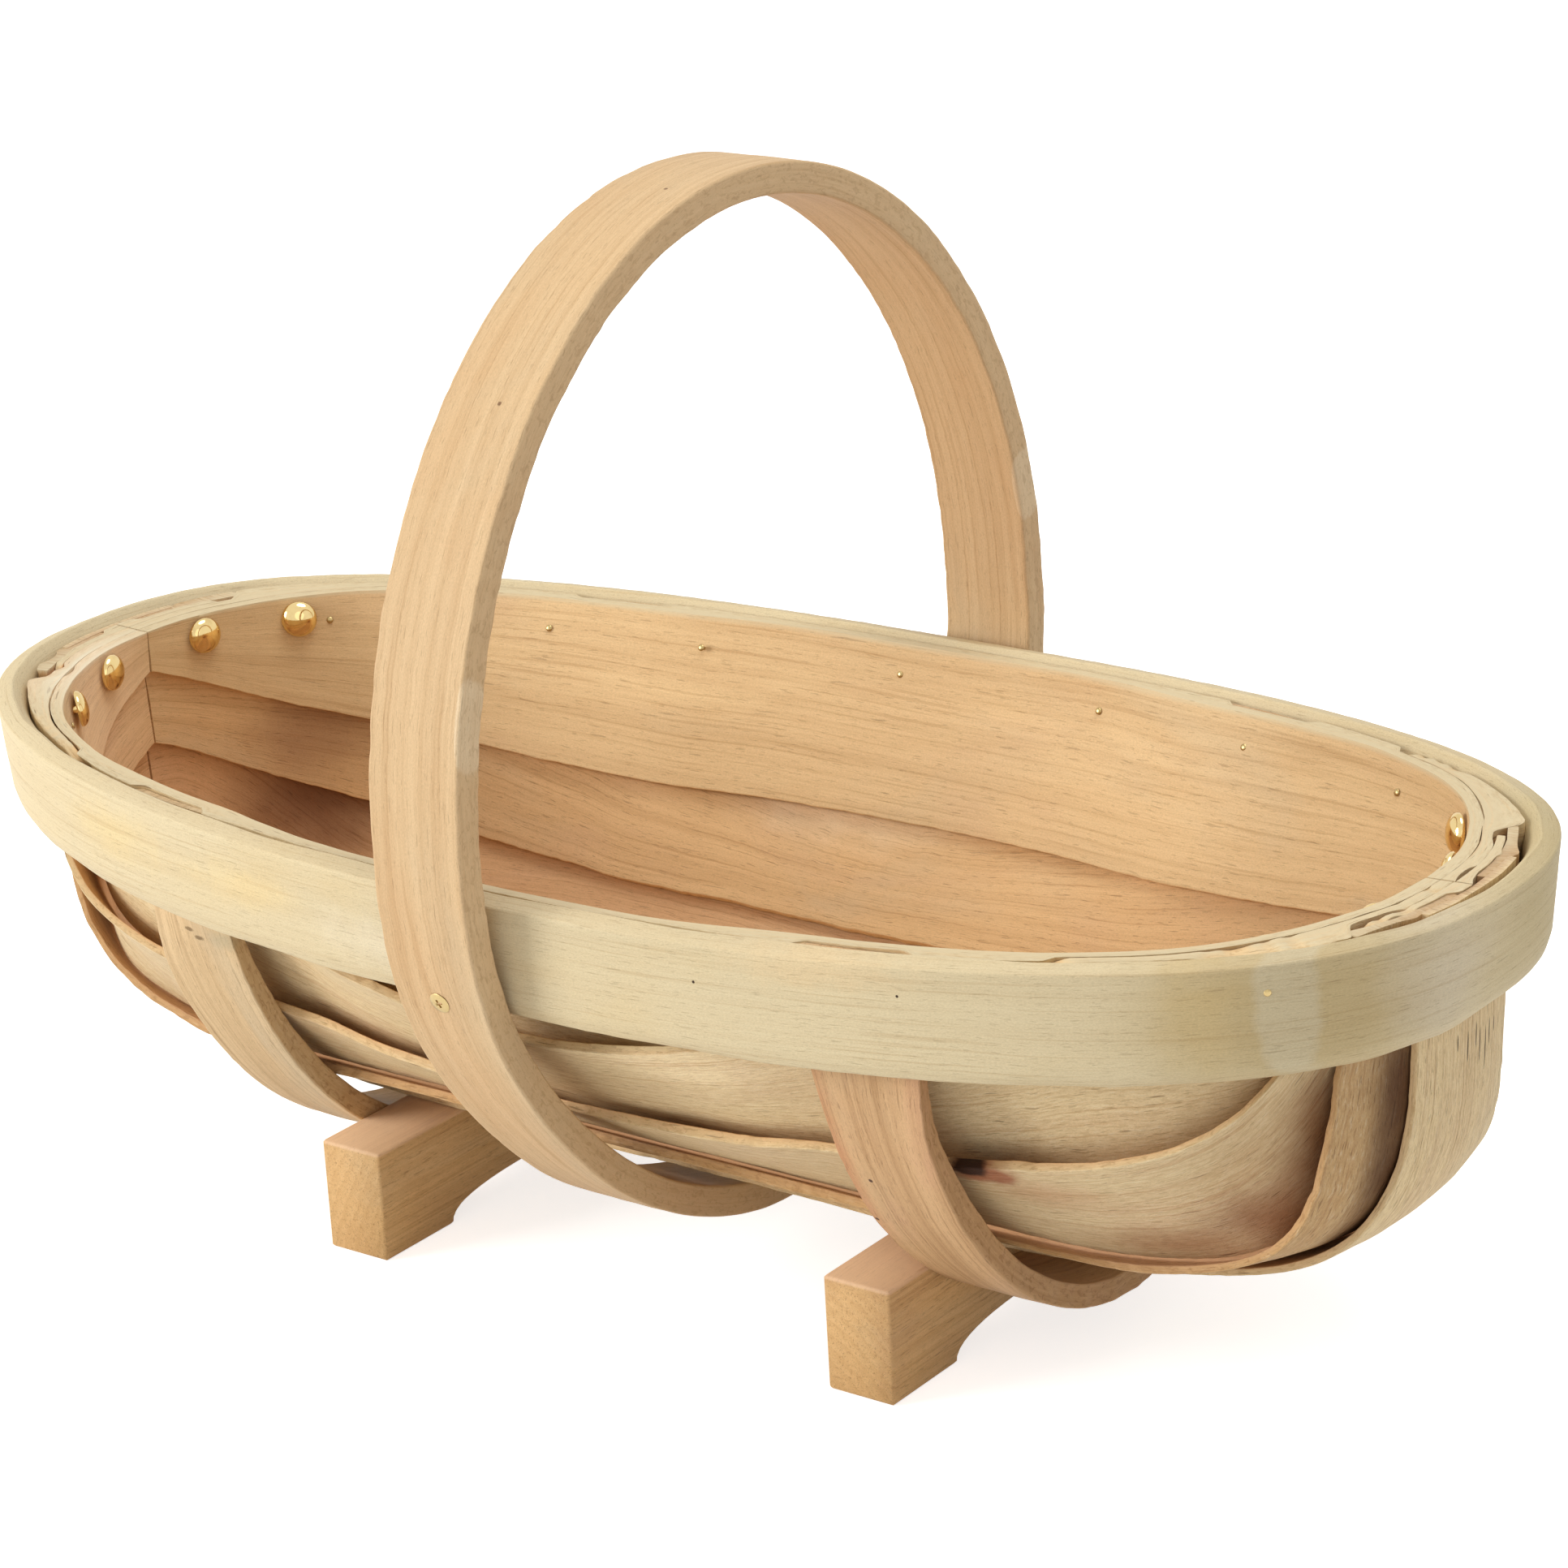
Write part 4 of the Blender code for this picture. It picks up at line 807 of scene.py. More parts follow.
# Marks by node, real ones and painted light and shade: place and radii in millimetres, softness, wobble,
# amount and colour
MARKS_AND_PAINTED_LIGHT = {
    "board_lower_near": (
        # brown stain and painted shade beside the bilge board, towards the right end
        ((243, -47, 99), (26, 20, 46), 0.95, 0.3, 1.0, (0.20, 0.08, 0.026)),
        ((228, -49, 76), (44, 20, 24), 0.95, 0.3, 0.90, (0.24, 0.095, 0.034)),
        ((196, -52, 62), (50, 16, 14), 0.95, 0.3, 0.75, (0.30, 0.125, 0.05)),
        ((222, -60, 104), (32, 20, 36), 0.95, 0.6, 0.35, (0.42, 0.24, 0.11)),
        ((168, -78, 80), (24, 14, 12), 0.9, 0.7, 0.35, (0.50, 0.22, 0.11)),
        # knot with its reddish bark
        ((152.0, -86.2, 87.2), (15.5, 9.0, 8.5), 0.6, 0.8, 0.85, (0.33, 0.10, 0.045)),
        ((148.0, -88.2, 89.6), (8.0, 7.0, 6.2), 0.5, 0.6, 0.95, (0.020, 0.009, 0.006)),
    ),
    "board_bilge_near": (
        # painted shade beside the centre board, where its edge shadows this board
        ((256, -29, 113), (22, 17, 38), 0.9, 0.3, 0.97, (0.10, 0.045, 0.018)),
        ((252, -29, 86), (22, 17, 32), 0.9, 0.3, 0.97, (0.10, 0.045, 0.018)),
        ((241, -29, 67), (22, 16, 22), 0.9, 0.3, 0.90, (0.13, 0.06, 0.024)),
    ),
    "board_upper_near": (
        # painted light between the handle and the right strap, where the rim shades the board
        ((62, -112, 112), (58, 30, 16), 0.8, 0.5, 0.50, (0.98, 0.82, 0.52)),
        # and painted light at the left end
        ((-250, -40, 145), (60, 60, 60), 0.8, 0.2, 0.75, (0.86, 0.62, 0.38)),
    ),
    "board_centre": tuple(
        # short open checks at the top of the right end
        ((261.5, y, z), (5.0, 0.33, high), 0.3, 0.30, 1.0, (0.06, 0.03, 0.012))
        for y, z, high in ((-7.0, 121.0, 3.0), (-1.5, 118.0, 5.5), (3.5, 120.0, 4.5), (6.0, 116.0, 6.5),
                           (9.6, 113.8, 8.0), (12.0, 118.0, 5.0), (15.5, 119.0, 3.0))),
    "handle": HANDLE_DOTS + tuple(
        # sanded facets on the right side, near and far
        ((20.5, y, z), (2.2, 10.0, high), 0.15, 0.2, 0.45, (0.80, 0.66, 0.45))
        for y, z, high in ((-142.5, 218.5, 15.0), (142.5, 216.0, 13.0))),
    "rim": (
        # soft yellow stains, and greyer wood with painted shade towards the right end
        ((-150, -121, 150), (40, 40, 14), 0.95, 0.9, 0.40, (0.74, 0.56, 0.25)),
        ((-85, -131, 147), (34, 50, 10), 0.9, 0.9, 0.30, (0.80, 0.62, 0.30)),
        ((125, -127, 160), (40, 50, 10), 0.9, 0.9, 0.35, (0.76, 0.55, 0.30)),
        ((-20, -136, 140), (50, 50, 12), 0.9, 0.9, 0.30, (0.84, 0.77, 0.60)),
        # painted shade on the right end, which gets less light
        ((250, -70, 150), (72, 60, 36), 0.8, 0.5, 0.85, (0.49, 0.375, 0.19)),
        ((262, 45, 158), (60, 80, 40), 0.8, 0.5, 0.75, (0.50, 0.40, 0.21)),
        ((226, -93, 150), (14, 50, 26), 0.8, 0.8, 0.55, (0.56, 0.42, 0.20)),
        ((244.8, -73, 156), (7.8, 50, 34), 0.35, 0.45, 0.36, (0.64, 0.59, 0.44)),
        ((262, -30, 150), (50, 26, 34), 0.9, 0.8, 0.50, (0.62, 0.55, 0.43)),
        # torn spots of the lower edge
        ((262, -18.6, 127.8), (8, 5.0, 1.0), 0.6, 0.9, 0.75, (0.27, 0.19, 0.11)),
        ((261, -7.0, 128.6), (8, 3.5, 0.8), 0.6, 0.9, 0.60, (0.27, 0.19, 0.11)),
        # sunken nails
        ((149.4, -121.0, 154.1), (0.55, 0.55, 0.55), 0.3, 0.2, 1.0, (0.05, 0.03, 0.02)),
        ((86.6, -131.4, 149.8), (0.55, 0.55, 0.55), 0.3, 0.2, 1.0, (0.05, 0.03, 0.02)),
    ),
    "strap_left": (
        # greyed top and a dark check below the rim
        ((-116, -112, 117), (9, 8, 6), 0.9, 0.6, 0.50, (0.36, 0.33, 0.22)),
        ((-130.2, -112, 117.8), (2.6, 5, 1.0), 0.5, 0.7, 0.80, (0.20, 0.12, 0.05)),
        ((-126.4, -111, 115.4), (2.6, 5, 1.0), 0.5, 0.7, 0.80, (0.20, 0.12, 0.05)),
    ),
    "strap_right": (
        # reddish heart streak and two dents
        ((112, -95, 95), (6, 50, 60), 0.9, 0.7, 0.45, (0.58, 0.24, 0.12)),
        ((119.9, -97.3, 82.6), (0.9, 0.9, 0.9), 0.4, 0.3, 1.0, (0.10, 0.05, 0.03)),
        ((113.1, -85.8, 64.3), (0.9, 0.9, 0.9), 0.4, 0.3, 1.0, (0.10, 0.05, 0.03)),
    ),
    # painted light at the left end
    "board_side_near": (((-250, -40, 145), (60, 60, 60), 0.8, 0.2, 0.75, (0.90, 0.66, 0.42)),),
    # painted shade towards the left end, behind the rim, and painted light on the middle
    "board_lower_far": (((-228, 52, 92), (68, 36, 32), 0.9, 0.5, 0.95, (0.24, 0.11, 0.05)),),
    "board_upper_far": (((-235, 58, 115), (44, 34, 28), 0.9, 0.5, 0.75, (0.34, 0.17, 0.08)),
                        ((-30, 108, 112), (75, 30, 26), 0.9, 0.5, 0.75, (0.88, 0.70, 0.46))),
}


def foot_wood(pale):
    """Sawn wood with growth rings, read from the place in the block."""
    material, w, shader = new_material("foot_wood")
    pale = np.array(pale)
    place = w.add("ShaderNodeTexCoord").outputs["Object"]
    x, y, z = w.put(w.add("ShaderNodeSeparateXYZ"), place).outputs
    swapped = w.put(w.add("ShaderNodeCombineXYZ"), y, x, z).outputs[0]
    grain = w.shared("split_wood_grain", split_wood_grain, Vector=swapped, Pale=pale,
                     Dark=pale * DARKER, Stain=(0.55, 0.30, 0.16),
                     Band_Depth=0.30, Fibre_Depth=0.45, Pore_Depth=0.6, Stain_Amount=0.35,
                     Grey_Amount=0.15)
    wave = w.add("ShaderNodeTexWave", wave_type="RINGS", rings_direction="Y", wave_profile="SAW")
    w.link(w.stretch(place, (1.0, 0.10, 1.0), (-0.045, 0.0, 0.055)), wave.inputs["Vector"])
    for label, value in (("Scale", 80.0), ("Distortion", 3.5), ("Detail", 3.0), ("Detail Scale", 1.6)):
        wave.inputs[label].default_value = value
    rings = w.span(wave.outputs["Fac"], 0.2, 1.0)
    ringed = w.blend(w.times(rings, 0.20), grain.outputs["Color"], pale * np.array([0.66, 0.54, 0.42]))
    # painted light on the top face, which is also a little pink
    top = w.span(z, FOOT_HIGH.z - 1.5 * MM, FOOT_HIGH.z - 0.5 * MM, 0.0, 0.55)
    w.dress(shader, w.blend(top, ringed, (0.95, 0.66, 0.45)), grain.outputs["Roughness"],
            w.times_plus(rings, 0.3, grain.outputs["Height"]), 0.12 * MM, 0.5)
    shader.inputs["Specular IOR Level"].default_value = WOOD_GLOSS
    return material


def brass(name, bright, tone, rough):
    """Brass, brighter or duller."""
    material, w, shader = new_material(name)
    bright = np.array(bright) * tone
    metal = w.shared("tarnished_metal", tarnished_metal,
                     Vector=w.add("ShaderNodeTexCoord").outputs["Object"], Bright=bright,
                     Dull=bright * np.array([0.62, 0.52, 0.40]), Least_Roughness=rough)
    w.dress(shader, *[metal.outputs[label] for label in ("Color", "Roughness", "Height")], 0.02 * MM, 0.1)
    shader.inputs["Metallic"].default_value = 1.0
    return material


# Fasteners

def nail_axis(name):
    """The top of a nail's head and the direction out of it, from its solid's two farthest points."""
    points = np.unique(np.round(triangles(name).reshape(-1, 3), 7), axis=0)
    gap = np.linalg.norm(points[:, None] - points[None], axis=2)
    ends = points[list(np.unravel_index(gap.argmax(), gap.shape))]
    # every head is on the inside, nearer the middle
    top, tip = sorted(ends, key=lambda p: abs(p[1]) + abs(p[0]) * 0.5)
    return top, (top - tip) / np.linalg.norm(top - tip)


def nails(kind, dome):
    """The nodes of a kind of nail, and the foot and the direction of each head's dome."""
    names = sorted(name for name in NODES if name.startswith(kind))
    ends = [nail_axis(name) for name in names]
    return names, [(top - axis * dome, axis) for top, axis in ends]


def turned(name, profile, steps):
    """A closed turned mesh from (radius, height) points, top to bottom."""
    shape = bmesh.new()
    dots = [shape.verts.new((radius, 0.0, height)) for radius, height in profile]
    edges = [shape.edges.new(ends) for ends in zip(dots, dots[1:])]
    bmesh.ops.spin(shape, geom=dots + edges, axis=(0, 0, 1), cent=(0, 0, 0), steps=steps,
                   angle=2 * pi, use_duplicate=False)
    bmesh.ops.remove_doubles(shape, verts=shape.verts, dist=0.02 * MM)
    bmesh.ops.recalc_face_normals(shape, faces=shape.faces)
    return as_mesh(name, shape)


def dome_profile(head, dome, shank, length, rings=7, edge=0.12, point=0.15):
    """A domed nail: its edge is a share of the dome's height, its point one of its length."""
    turns = [pi / 2 * ring / rings for ring in range(1, rings + 1)]
    profile = [(head / 2 * sin(turn), dome * mix(edge, 1, cos(turn))) for turn in turns]
    return [(0.0, dome)] + profile + [(head / 2 - dome * edge / 2, 0.0), (shank / 2, 0.0),
                                      (shank / 2, -length * (1 - point)), (0.0, -length)]


def nail_tree(name):
    """A Geometry Nodes tree that sets a nail of a size on every point along its way, in one material."""
    tree = bpy.data.node_groups.new(name, "GeometryNodeTree")
    tree.is_modifier = True
    for label, kind in (("Geometry", "Geometry"), ("Nail", "Object"), ("Material", "Material"),
                        ("Size", "Float")):
        tree.interface.new_socket(label, in_out="INPUT", socket_type="NodeSocket" + kind)
    tree.interface.new_socket("Geometry", in_out="OUTPUT", socket_type="NodeSocketGeometry")
    w = Wiring(tree)
    given = w.add("NodeGroupInput").outputs
    nail = w.add("GeometryNodeObjectInfo", transform_space="ORIGINAL")
    way = w.add("GeometryNodeInputNamedAttribute", data_type="FLOAT_VECTOR")
    way.inputs[0].default_value = "way"
    turn = w.add("FunctionNodeAlignRotationToVector", axis="Z")
    spread = w.add("GeometryNodeInstanceOnPoints")
    real = w.add("GeometryNodeRealizeInstances")
    paint = w.add("GeometryNodeSetMaterial")
    for source, target in ((given["Nail"], nail.inputs[0]), (way.outputs[0], turn.inputs["Vector"]),
                           (given["Geometry"], spread.inputs["Points"]),
                           (nail.outputs["Geometry"], spread.inputs["Instance"]),
                           (turn.outputs[0], spread.inputs["Rotation"]),
                           (given["Size"], spread.inputs["Scale"]),
                           (spread.outputs[0], real.inputs[0]), (real.outputs[0], paint.inputs["Geometry"]),
                           (given["Material"], paint.inputs["Material"]),
                           (paint.outputs[0], w.add("NodeGroupOutput").inputs[0])):
        w.link(source, target)
    return tree


def scattered(name, model, places, material, *replaced):
    """Copies of one mesh on places with directions, made by Geometry Nodes."""
    dots = bpy.data.meshes.new(name + "_dots")
    dots.from_pydata([tuple(point) for point, _ in places], [], [])
    way = dots.attributes.new("way", "FLOAT_VECTOR", "POINT")
    way.data.foreach_set("vector", np.array([axis for _, axis in places], dtype=np.float32).ravel())
    one, holder = placed(name + "_one", model), placed(name + "_dots", dots)
    modifier = holder.modifiers.new("nails", "NODES")
    modifier.node_group = bpy.data.node_groups.get("nail_tree") or nail_tree("nail_tree")
    sockets = {item.name: item.identifier for item in modifier.node_group.interface.items_tree
               if item.in_out == "INPUT"}
    for label, value in (("Nail", one), ("Material", material), ("Size", 1.0)):
        modifier[sockets[label]] = value
    mesh = evaluated(holder)
    for item in (holder, one):
        bpy.data.objects.remove(item, do_unlink=True)
    mesh.name = name
    return finished(name, mesh, material, *replaced)


def screw_place(name, side):
    """The place of a screw's head on the handle's outer face, and the direction out of it."""
    low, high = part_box(name)
    levels = (low.z + high.z) / 2 - HANDLE_MIDDLE + np.array([-2.0, 0.0, 2.0]) * MM
    turns = np.arcsin(levels / HANDLE_HIGH.y)
    if side < 0:
        turns = pi - turns
    corners = triangles("handle")
    rows = [hoop_cut(turn, HANDLE_MIDDLE).section(corners, 4, 0.0018)[0] for turn in turns]
    axis = np.cross(rows[2][1] - rows[0][1], rows[1][2] - rows[1][1])
    axis *= np.sign(axis[1]) * side / np.linalg.norm(axis)
    return (rows[1][1] + rows[1][2]) / 2 + axis * 0.10 * MM, axis


def slotted_screw(radius, shank=0.0017, slot_turn=0.35, slot_length=1.15, slot_width=0.001, depth=0.0013):
    """A countersunk screw. Boolean modifiers cut its crossed slots, whose length is in radii."""
    profile = [(0.0, 0.25 * MM), (radius * 0.55, 0.20 * MM), (radius * 0.93, 0.05 * MM),
               (radius, -0.15 * MM), (shank, -2.3 * MM), (shank, -0.015), (0.0, -0.0168)]
    blank = placed("screw_blank", turned("screw_blank", profile, 32))
    tools = []
    for turn in (slot_turn, slot_turn + pi / 2):
        slot = bmesh.new()
        bmesh.ops.create_cube(slot, size=1.0)
        for corner in slot.verts:
            # the slots are shorter and narrower at their bottom
            long, wide = (1.0, 1.0) if corner.co.z > 0 else (0.35, 0.6)
            corner.co.x *= radius * slot_length * long
            corner.co.y *= slot_width * wide
            corner.co.z *= depth * 2
        bmesh.ops.rotate(slot, verts=slot.verts, cent=(0, 0, 0), matrix=Matrix.Rotation(turn, 3, "Z"))
        tools.append(placed("screw_slot", as_mesh("screw_slot", slot)))
        cut = blank.modifiers.new("slot", "BOOLEAN")
        cut.operation = "DIFFERENCE"
        cut.object = tools[-1]
    mesh = evaluated(blank)
    for item in tools + [blank]:
        bpy.data.objects.remove(item, do_unlink=True)
    return mesh


# Operators

class TrugOperator:
    """What the trug's operators share."""
    bl_options = {"REGISTER", "UNDO"}

    @property
    def sizes(self):
        return bpy.context.scene.trug_sizes

    @property
    def colours(self):
        return bpy.context.scene.trug_colours


class TRUG_OT_rim(TrugOperator, bpy.types.Operator):
    """Make the bent rim"""
    bl_idname = "trug.rim"
    bl_label = "Rim"

    def execute(self, context):
        sizes, colours = self.sizes, self.colours
        turns = np.linspace(0.0, 2 * pi, HOOP_CUTS, endpoint=False) + pi / 2
        timber = Timber("rim", [upright_cut(turn) for turn in turns], closed=True)
        mesh = band_mesh(timber, sizes.step, columns=18, rounding=sizes.band_rounding, seed=sizes.seed,
                         tear=(0.0003, 0.0002), swell=0.00012)
        material = wood("rim_wood", colours.rim, 1, dark=0.72, bands=0.28, fibres=0.36, pores=0.40,
                        greys=0.25, stains=0.25, stain=(0.70, 0.50, 0.22), edge=0.12, bump=0.14,
                        marks=MARKS_AND_PAINTED_LIGHT["rim"])
        finished("rim_band", mesh, material, "rim")
        return {"FINISHED"}


class TRUG_OT_handle(TrugOperator, bpy.types.Operator):
    """Make the handle hoop"""
    bl_idname = "trug.handle"
    bl_label = "Handle"

    def execute(self, context):
        sizes, colours = self.sizes, self.colours
        turns = np.linspace(0.0, 2 * pi, HOOP_CUTS, endpoint=False) - pi / 2
        timber = Timber("handle", [hoop_cut(turn, HANDLE_MIDDLE) for turn in turns], 4, closed=True)
        mesh = band_mesh(timber, sizes.step, columns=16, rounding=sizes.band_rounding, seed=sizes.seed + 1,
                         tear=(0.0005, 0.0005), swell=0.00016)
        material = wood("handle_wood", colours.handle, 2, dark=0.70, bands=0.55, fibres=0.42,
                        pores=0.45, stains=0.25, stain=(0.60, 0.34, 0.16), edge=0.60,
                        edge_tint=(0.88, 0.90, 0.92), marks=MARKS_AND_PAINTED_LIGHT["handle"])
        finished("handle_hoop", mesh, material, "handle")
        return {"FINISHED"}


class TRUG_OT_straps(TrugOperator, bpy.types.Operator):
    """Make the two bent straps"""
    bl_idname = "trug.straps"
    bl_label = "Straps"

    def execute(self, context):
        sizes, colours = self.sizes, self.colours
        for number, hand in enumerate(HANDS):
            node = "strap_" + hand
            low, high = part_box(node)
            height = min(high.z, rim_level((low.x + high.x) / 2)) - STRAP_DROP
            turns = np.linspace(pi, 2 * pi, STRAP_CUTS)
            timber = Timber(node, [hoop_cut(turn, height) for turn in turns], margin=0.0015)
            mesh = band_mesh(timber, sizes.step, columns=16, rounding=sizes.board_rounding * 1.6,
                             seed=sizes.seed + 20 + number, tear=(0.0006, 0.0006), swell=0.00018,
                             trim=trimmed)
            material = wood("strap_wood_" + hand, colours.strap, 5 + number, dark=0.60, bands=0.7,
                            fibres=0.5, pores=0.6, stains=0.4, edge=0.85, edge_tint=(0.66, 0.60, 0.52),
                            stain=((0.55, 0.47, 0.33), (0.70, 0.36, 0.24))[number],
                            hue=((1.08, 1.22, 1.3), (1.0, 1.0, 1.0))[number],
                            marks=MARKS_AND_PAINTED_LIGHT[node])
            finished(node + "_band", mesh, material, node)
        return {"FINISHED"}


BOARD_LOOKS = {
    # kind: rounds of smoothing, tears of its lower and upper edge, stains, pores, tints of its inner
    # and outer face
    "lower": (6, (0.7, 1.0), 0.35, 0.6, (1.10, 1.04, 1.08), (1.03, 1.03, 1.03)),
    "upper": (6, (0.7, 1.0), 0.25, 0.6, (1.10, 1.10, 1.08), (1.08, 1.08, 1.08)),
    "side": (26, (0.4, 0.0), 0.20, 0.45, (1.12, 1.22, 1.28), (1.0, 1.0, 1.0)),
    "bilge": (4, (0.6, 1.0), 0.40, 1.0, (0.84, 0.76, 0.80), (0.80, 0.66, 0.54)),
    "centre": (4, (0.6, 1.0), 0.30, 0.9, (0.86, 0.76, 0.78), (1.13, 1.12, 1.10)),
}
BITES = (1.2, 1.8)      # depth of lost splinters at the lower and upper edge, as a share of its tear
# in the order of their seeds
BOARDS = [("board_%s_%s" % (kind, flank), side) for flank, side in SIDES.items()
          for kind in ("lower", "upper", "side")]
BOARDS += [("board_bilge_near", -1.0), ("board_bilge_far", 1.0), ("board_centre", 1.0)]


class TRUG_OT_boards(TrugOperator, bpy.types.Operator):
    """Make the nine overlapping boards"""
    bl_idname = "trug.boards"
    bl_label = "Boards"

    def cuts(self, node, side):
        if node.split("_")[1] in ("bilge", "centre"):
            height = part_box(node)[1].z - KEEL_DROP
            return [keel_cut(turn, height, side) for turn in np.linspace(0.0, pi, KEEL_CUTS)]
        turns = np.linspace(0.0, pi, FLANK_CUTS)
        turns[0], turns[-1] = BUTT_TURN, pi - BUTT_TURN
        return [upright_cut(turn, side) for turn in turns]

    def execute(self, context):
        sizes, colours = self.sizes, self.colours
        for number, (node, side) in enumerate(BOARDS):
            seed = sizes.seed + 43 + 3 * number
            rounds, tears, stains, pores, hue, back_hue = BOARD_LOOKS[node.split("_")[1]]
            timber = Timber(node, self.cuts(node, side), rounds=rounds, margin=0.0015)
            timber.fill(walls_around(node))
            tear = (sizes.tear * tears[0], sizes.tear * tears[1])
            bites = (tear[0] * BITES[0], tear[1] * BITES[1])
            mesh = band_mesh(timber, sizes.step, columns=24, rounding=sizes.board_rounding, seed=seed,
                             tear=tear, swell=0.00016, trim=trimmed, bites=bites)
            material = wood(node + "_wood", colours.board, seed, dark=0.66, bands=0.5, fibres=0.45,
                            pores=pores, stains=stains, edge=0.8, hue=hue,
                            back=np.array(colours.outside) * np.array(back_hue),
                            edge_tint=(1.02, 0.94, 0.86), stain=(0.62, 0.38, 0.24), bump=0.13,
                            marks=MARKS_AND_PAINTED_LIGHT.get(node, ()))
            finished(node + "_split", mesh, material, node)
        return {"FINISHED"}


FLAT = radians(1.0)             # faces that meet at less are one face
FOOT_CORNER = radians(50)       # edges sharper than this are eased
FOOT_EASE = 0.7 * MM


class TRUG_OT_feet(TrugOperator, bpy.types.Operator):
    """Give the two feet their sawn wood"""
    bl_idname = "trug.feet"
    bl_label = "Feet"

    def execute(self, context):
        material = foot_wood(self.colours.foot)
        for hand in HANDS:
            node = "foot_" + hand
            shape = bmesh.new()
            shape.from_mesh(NODES[node].data)
            bmesh.ops.remove_doubles(shape, verts=shape.verts, dist=0.005 * MM)
            bmesh.ops.dissolve_limit(shape, angle_limit=FLAT, verts=shape.verts, edges=shape.edges)
            corners = [edge for edge in shape.edges if edge.calc_face_angle(0.0) > FOOT_CORNER]
            bmesh.ops.bevel(shape, geom=corners, offset=FOOT_EASE, offset_type="OFFSET", segments=3,
                            profile=0.5, affect="EDGES", clamp_overlap=True)
            mesh = as_mesh(node, shape)
            finished(node + "_block", mesh, material, node)
        return {"FINISHED"}


class TRUG_OT_tacks(TrugOperator, bpy.types.Operator):
    """Make the domed brass tacks"""
    bl_idname = "trug.tacks"
    bl_label = "Tacks"

    def execute(self, context):
        sizes, colours = self.sizes, self.colours
        names, places = nails("tack_", sizes.tack_dome)
        profile = dome_profile(sizes.tack_head, sizes.tack_dome, shank=0.0026, length=0.014)
        material = brass("tack_brass", colours.brass, tone=1.0, rough=0.05)
        piece = scattered("tack_heads", turned("tack", profile, 28), places, material, *names)
        return {"FINISHED"}


OUTSIDE_PIN = ((241.4, -77.3, 157.7), (0.65, -0.75, -0.09))     # place in millimetres and direction


class TRUG_OT_pins(TrugOperator, bpy.types.Operator):
    """Make the small brass pins"""
    bl_idname = "trug.pins"
    bl_label = "Pins"

    def execute(self, context):
        sizes, colours = self.sizes, self.colours
        dome = sizes.pin_head / 4
        names, places = nails("pin_", dome)
        axis = np.array(OUTSIDE_PIN[1]) / np.linalg.norm(OUTSIDE_PIN[1])
        places.append((np.array(OUTSIDE_PIN[0]) * MM - axis * dome * 0.6, axis))
        profile = dome_profile(sizes.pin_head, dome, shank=0.0011, length=0.009, rings=4)
        material = brass("pin_brass", colours.brass, tone=0.62, rough=0.30)
        piece = scattered("pin_heads", turned("pin", profile, 14), places, material, *names)
        return {"FINISHED"}


class TRUG_OT_screws(TrugOperator, bpy.types.Operator):
    """Make the handle's two countersunk screws with crossed slots"""
    bl_idname = "trug.screws"
    bl_label = "Screws"

    def execute(self, context):
        sizes, colours = self.sizes, self.colours
        names = ["handle_screw_" + flank for flank in SIDES]
        places = [screw_place(name, side) for name, side in zip(names, SIDES.values())]
        material = brass("screw_brass", colours.brass, tone=0.58, rough=0.28)
        model = slotted_screw(sizes.screw_head / 2)
        piece = scattered("handle_screws", model, places, material, *names)
        return {"FINISHED"}


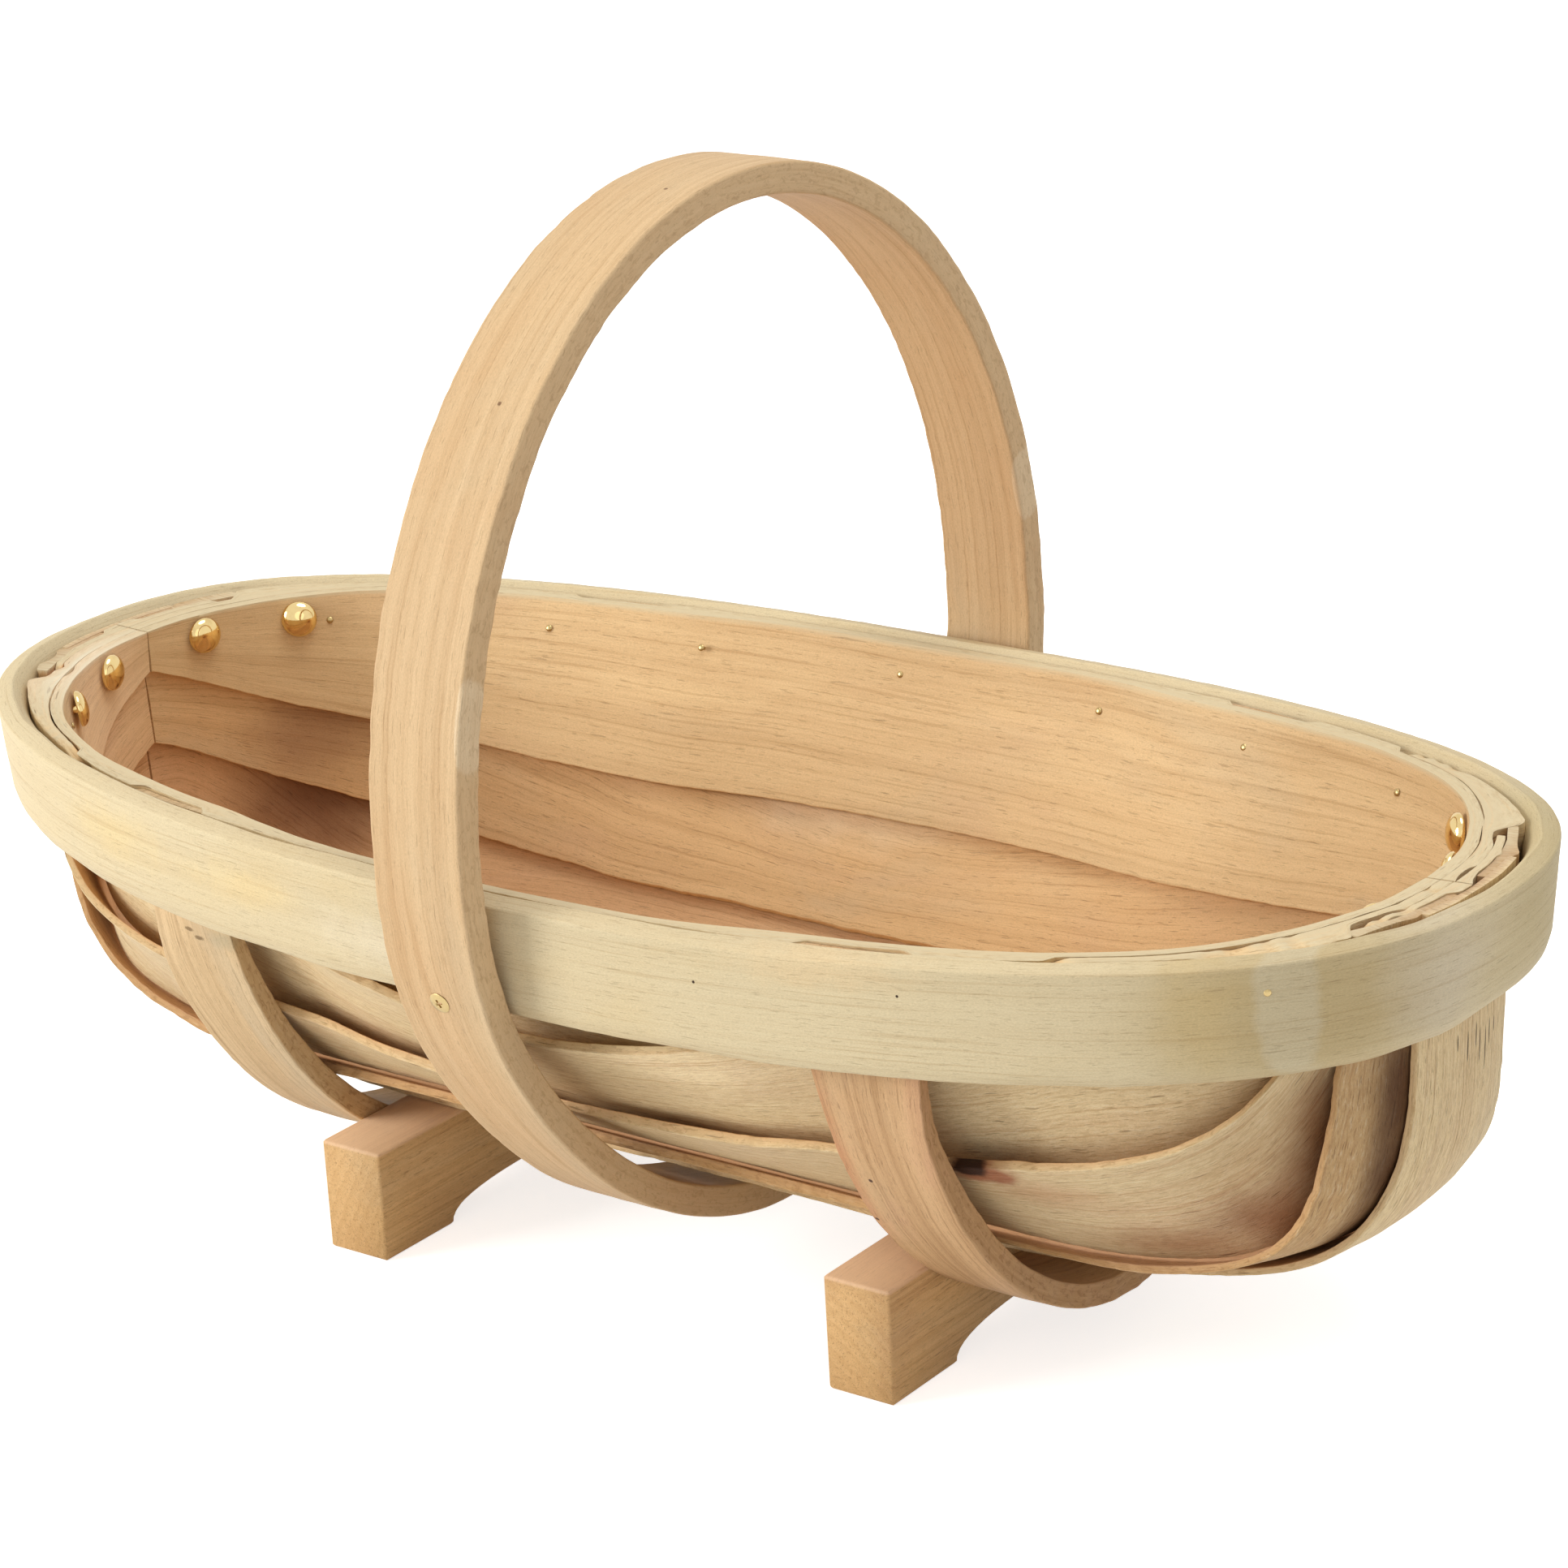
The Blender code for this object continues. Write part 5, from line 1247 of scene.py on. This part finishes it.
class TRUG_OT_stage(TrugOperator, bpy.types.Operator):
    """Make the floor, the lamps and the camera"""
    bl_idname = "trug.stage"
    bl_label = "Stage"

    def seen(self, w):
        """1 for what the camera sees directly, in gloss or through glass."""
        path = w.add("ShaderNodeLightPath").outputs
        shown = w.maths("MAXIMUM", path["Is Camera Ray"], path["Is Glossy Ray"])
        return w.maths("MAXIMUM", shown, path["Is Transmission Ray"])

    def floor(self, colour):
        shape = bmesh.new()
        bmesh.ops.create_grid(shape, x_segments=1, y_segments=1, size=6.0)
        material, w, shader = new_material("floor")
        for label, value in (("Base Color", colour), ("Roughness", 0.9), ("Specular IOR Level", 0.0),
                             ("Emission Color", (1.0, 1.0, 1.0)),
                             ("Emission Strength", w.times(self.seen(w), 0.70))):
            w.feed(shader.inputs[label], value)
        floor = placed("floor", as_mesh("floor", shape))
        floor.data.materials.append(material)

    def lamps(self):
        for name, place, height, size, power in (("key_lamp", (-1.5, -1.8, 0.88), 0.15, 1.2, 37.5),
                                                 ("fill_lamp", (1.5, -1.5, 0.9), 0.15, 1.4, 2.5),
                                                 ("top_lamp", (0.3, 0.2, 1.9), 0.10, 1.2, 15.0)):
            data = bpy.data.lights.new(name, "AREA")
            data.shape = "DISK"
            data.size = size
            data.energy = power
            lamp = placed(name, data)
            lamp.location = place
            lamp.rotation_mode = "QUATERNION"
            lamp.rotation_quaternion = (Vector((0.0, 0.0, height)) - Vector(place)).to_track_quat("-Z", "Y")

    def world(self, scene):
        scene.world = bpy.data.worlds.new("studio")
        scene.world.use_nodes = True
        w = Wiring(scene.world.node_tree)
        back = scene.world.node_tree.nodes["Background"].inputs
        w.feed(back["Strength"], w.times_plus(self.seen(w), 0.48, 0.52))
        w.feed(back["Color"], (1.0, 1.0, 1.0))
        scene.view_settings.view_transform = "Standard"

    def camera(self, scene):
        view = scene.trug_camera
        data = bpy.data.cameras.new("photo_camera")
        data.sensor_width = 36.0
        data.lens = view.lens
        data.clip_start = 0.05
        yaw, pitch, roll = view.yaw, -view.pitch, -view.roll
        ahead = Vector((-sin(yaw) * cos(pitch), cos(yaw) * cos(pitch), sin(pitch)))
        level = Vector((cos(yaw), sin(yaw), 0.0))
        up = level.cross(ahead)
        right = cos(roll) * level + sin(roll) * up
        top = cos(roll) * up - sin(roll) * level
        turn = Matrix((right, top, -ahead)).transposed().to_4x4()
        scene.camera = placed("photo_camera", data)
        scene.camera.matrix_world = Matrix.Translation(view.place) @ turn

    def execute(self, context):
        scene = context.scene
        self.floor(self.colours.floor)
        self.lamps()
        self.world(scene)
        self.camera(scene)
        return {"FINISHED"}


class TRUG_PT_panel(bpy.types.Panel):
    """The trug's sizes, colours and pieces"""
    bl_label = "Garden trug"
    bl_idname = "TRUG_PT_panel"
    bl_space_type = "VIEW_3D"
    bl_region_type = "UI"
    bl_category = "Trug"

    def draw(self, context):
        for group in ("trug_sizes", "trug_colours", "trug_camera"):
            values = getattr(context.scene, group)
            box = self.layout.box()
            for name in values.__annotations__:
                box.prop(values, name)
        for operator in OPERATORS:
            self.layout.operator(operator.bl_idname)


OPERATORS = (TRUG_OT_rim, TRUG_OT_handle, TRUG_OT_straps, TRUG_OT_boards, TRUG_OT_feet, TRUG_OT_tacks,
             TRUG_OT_pins, TRUG_OT_screws, TRUG_OT_stage)
GROUPS = {"trug_sizes": TrugSizes, "trug_colours": TrugColours, "trug_camera": TrugCamera}


def register():
    for name, group in GROUPS.items():
        bpy.utils.register_class(group)
        setattr(bpy.types.Scene, name, bpy.props.PointerProperty(type=group))
    for item in OPERATORS + (TRUG_PT_panel,):
        bpy.utils.register_class(item)


def unregister():
    for item in (TRUG_PT_panel,) + OPERATORS[::-1]:
        bpy.utils.unregister_class(item)
    for name, group in GROUPS.items():
        delattr(bpy.types.Scene, name)
        bpy.utils.unregister_class(group)


def main():
    register()
    for operator in OPERATORS:
        group, name = operator.bl_idname.split(".")
        getattr(getattr(bpy.ops, group), name)()


if __name__ == "__main__":
    main()
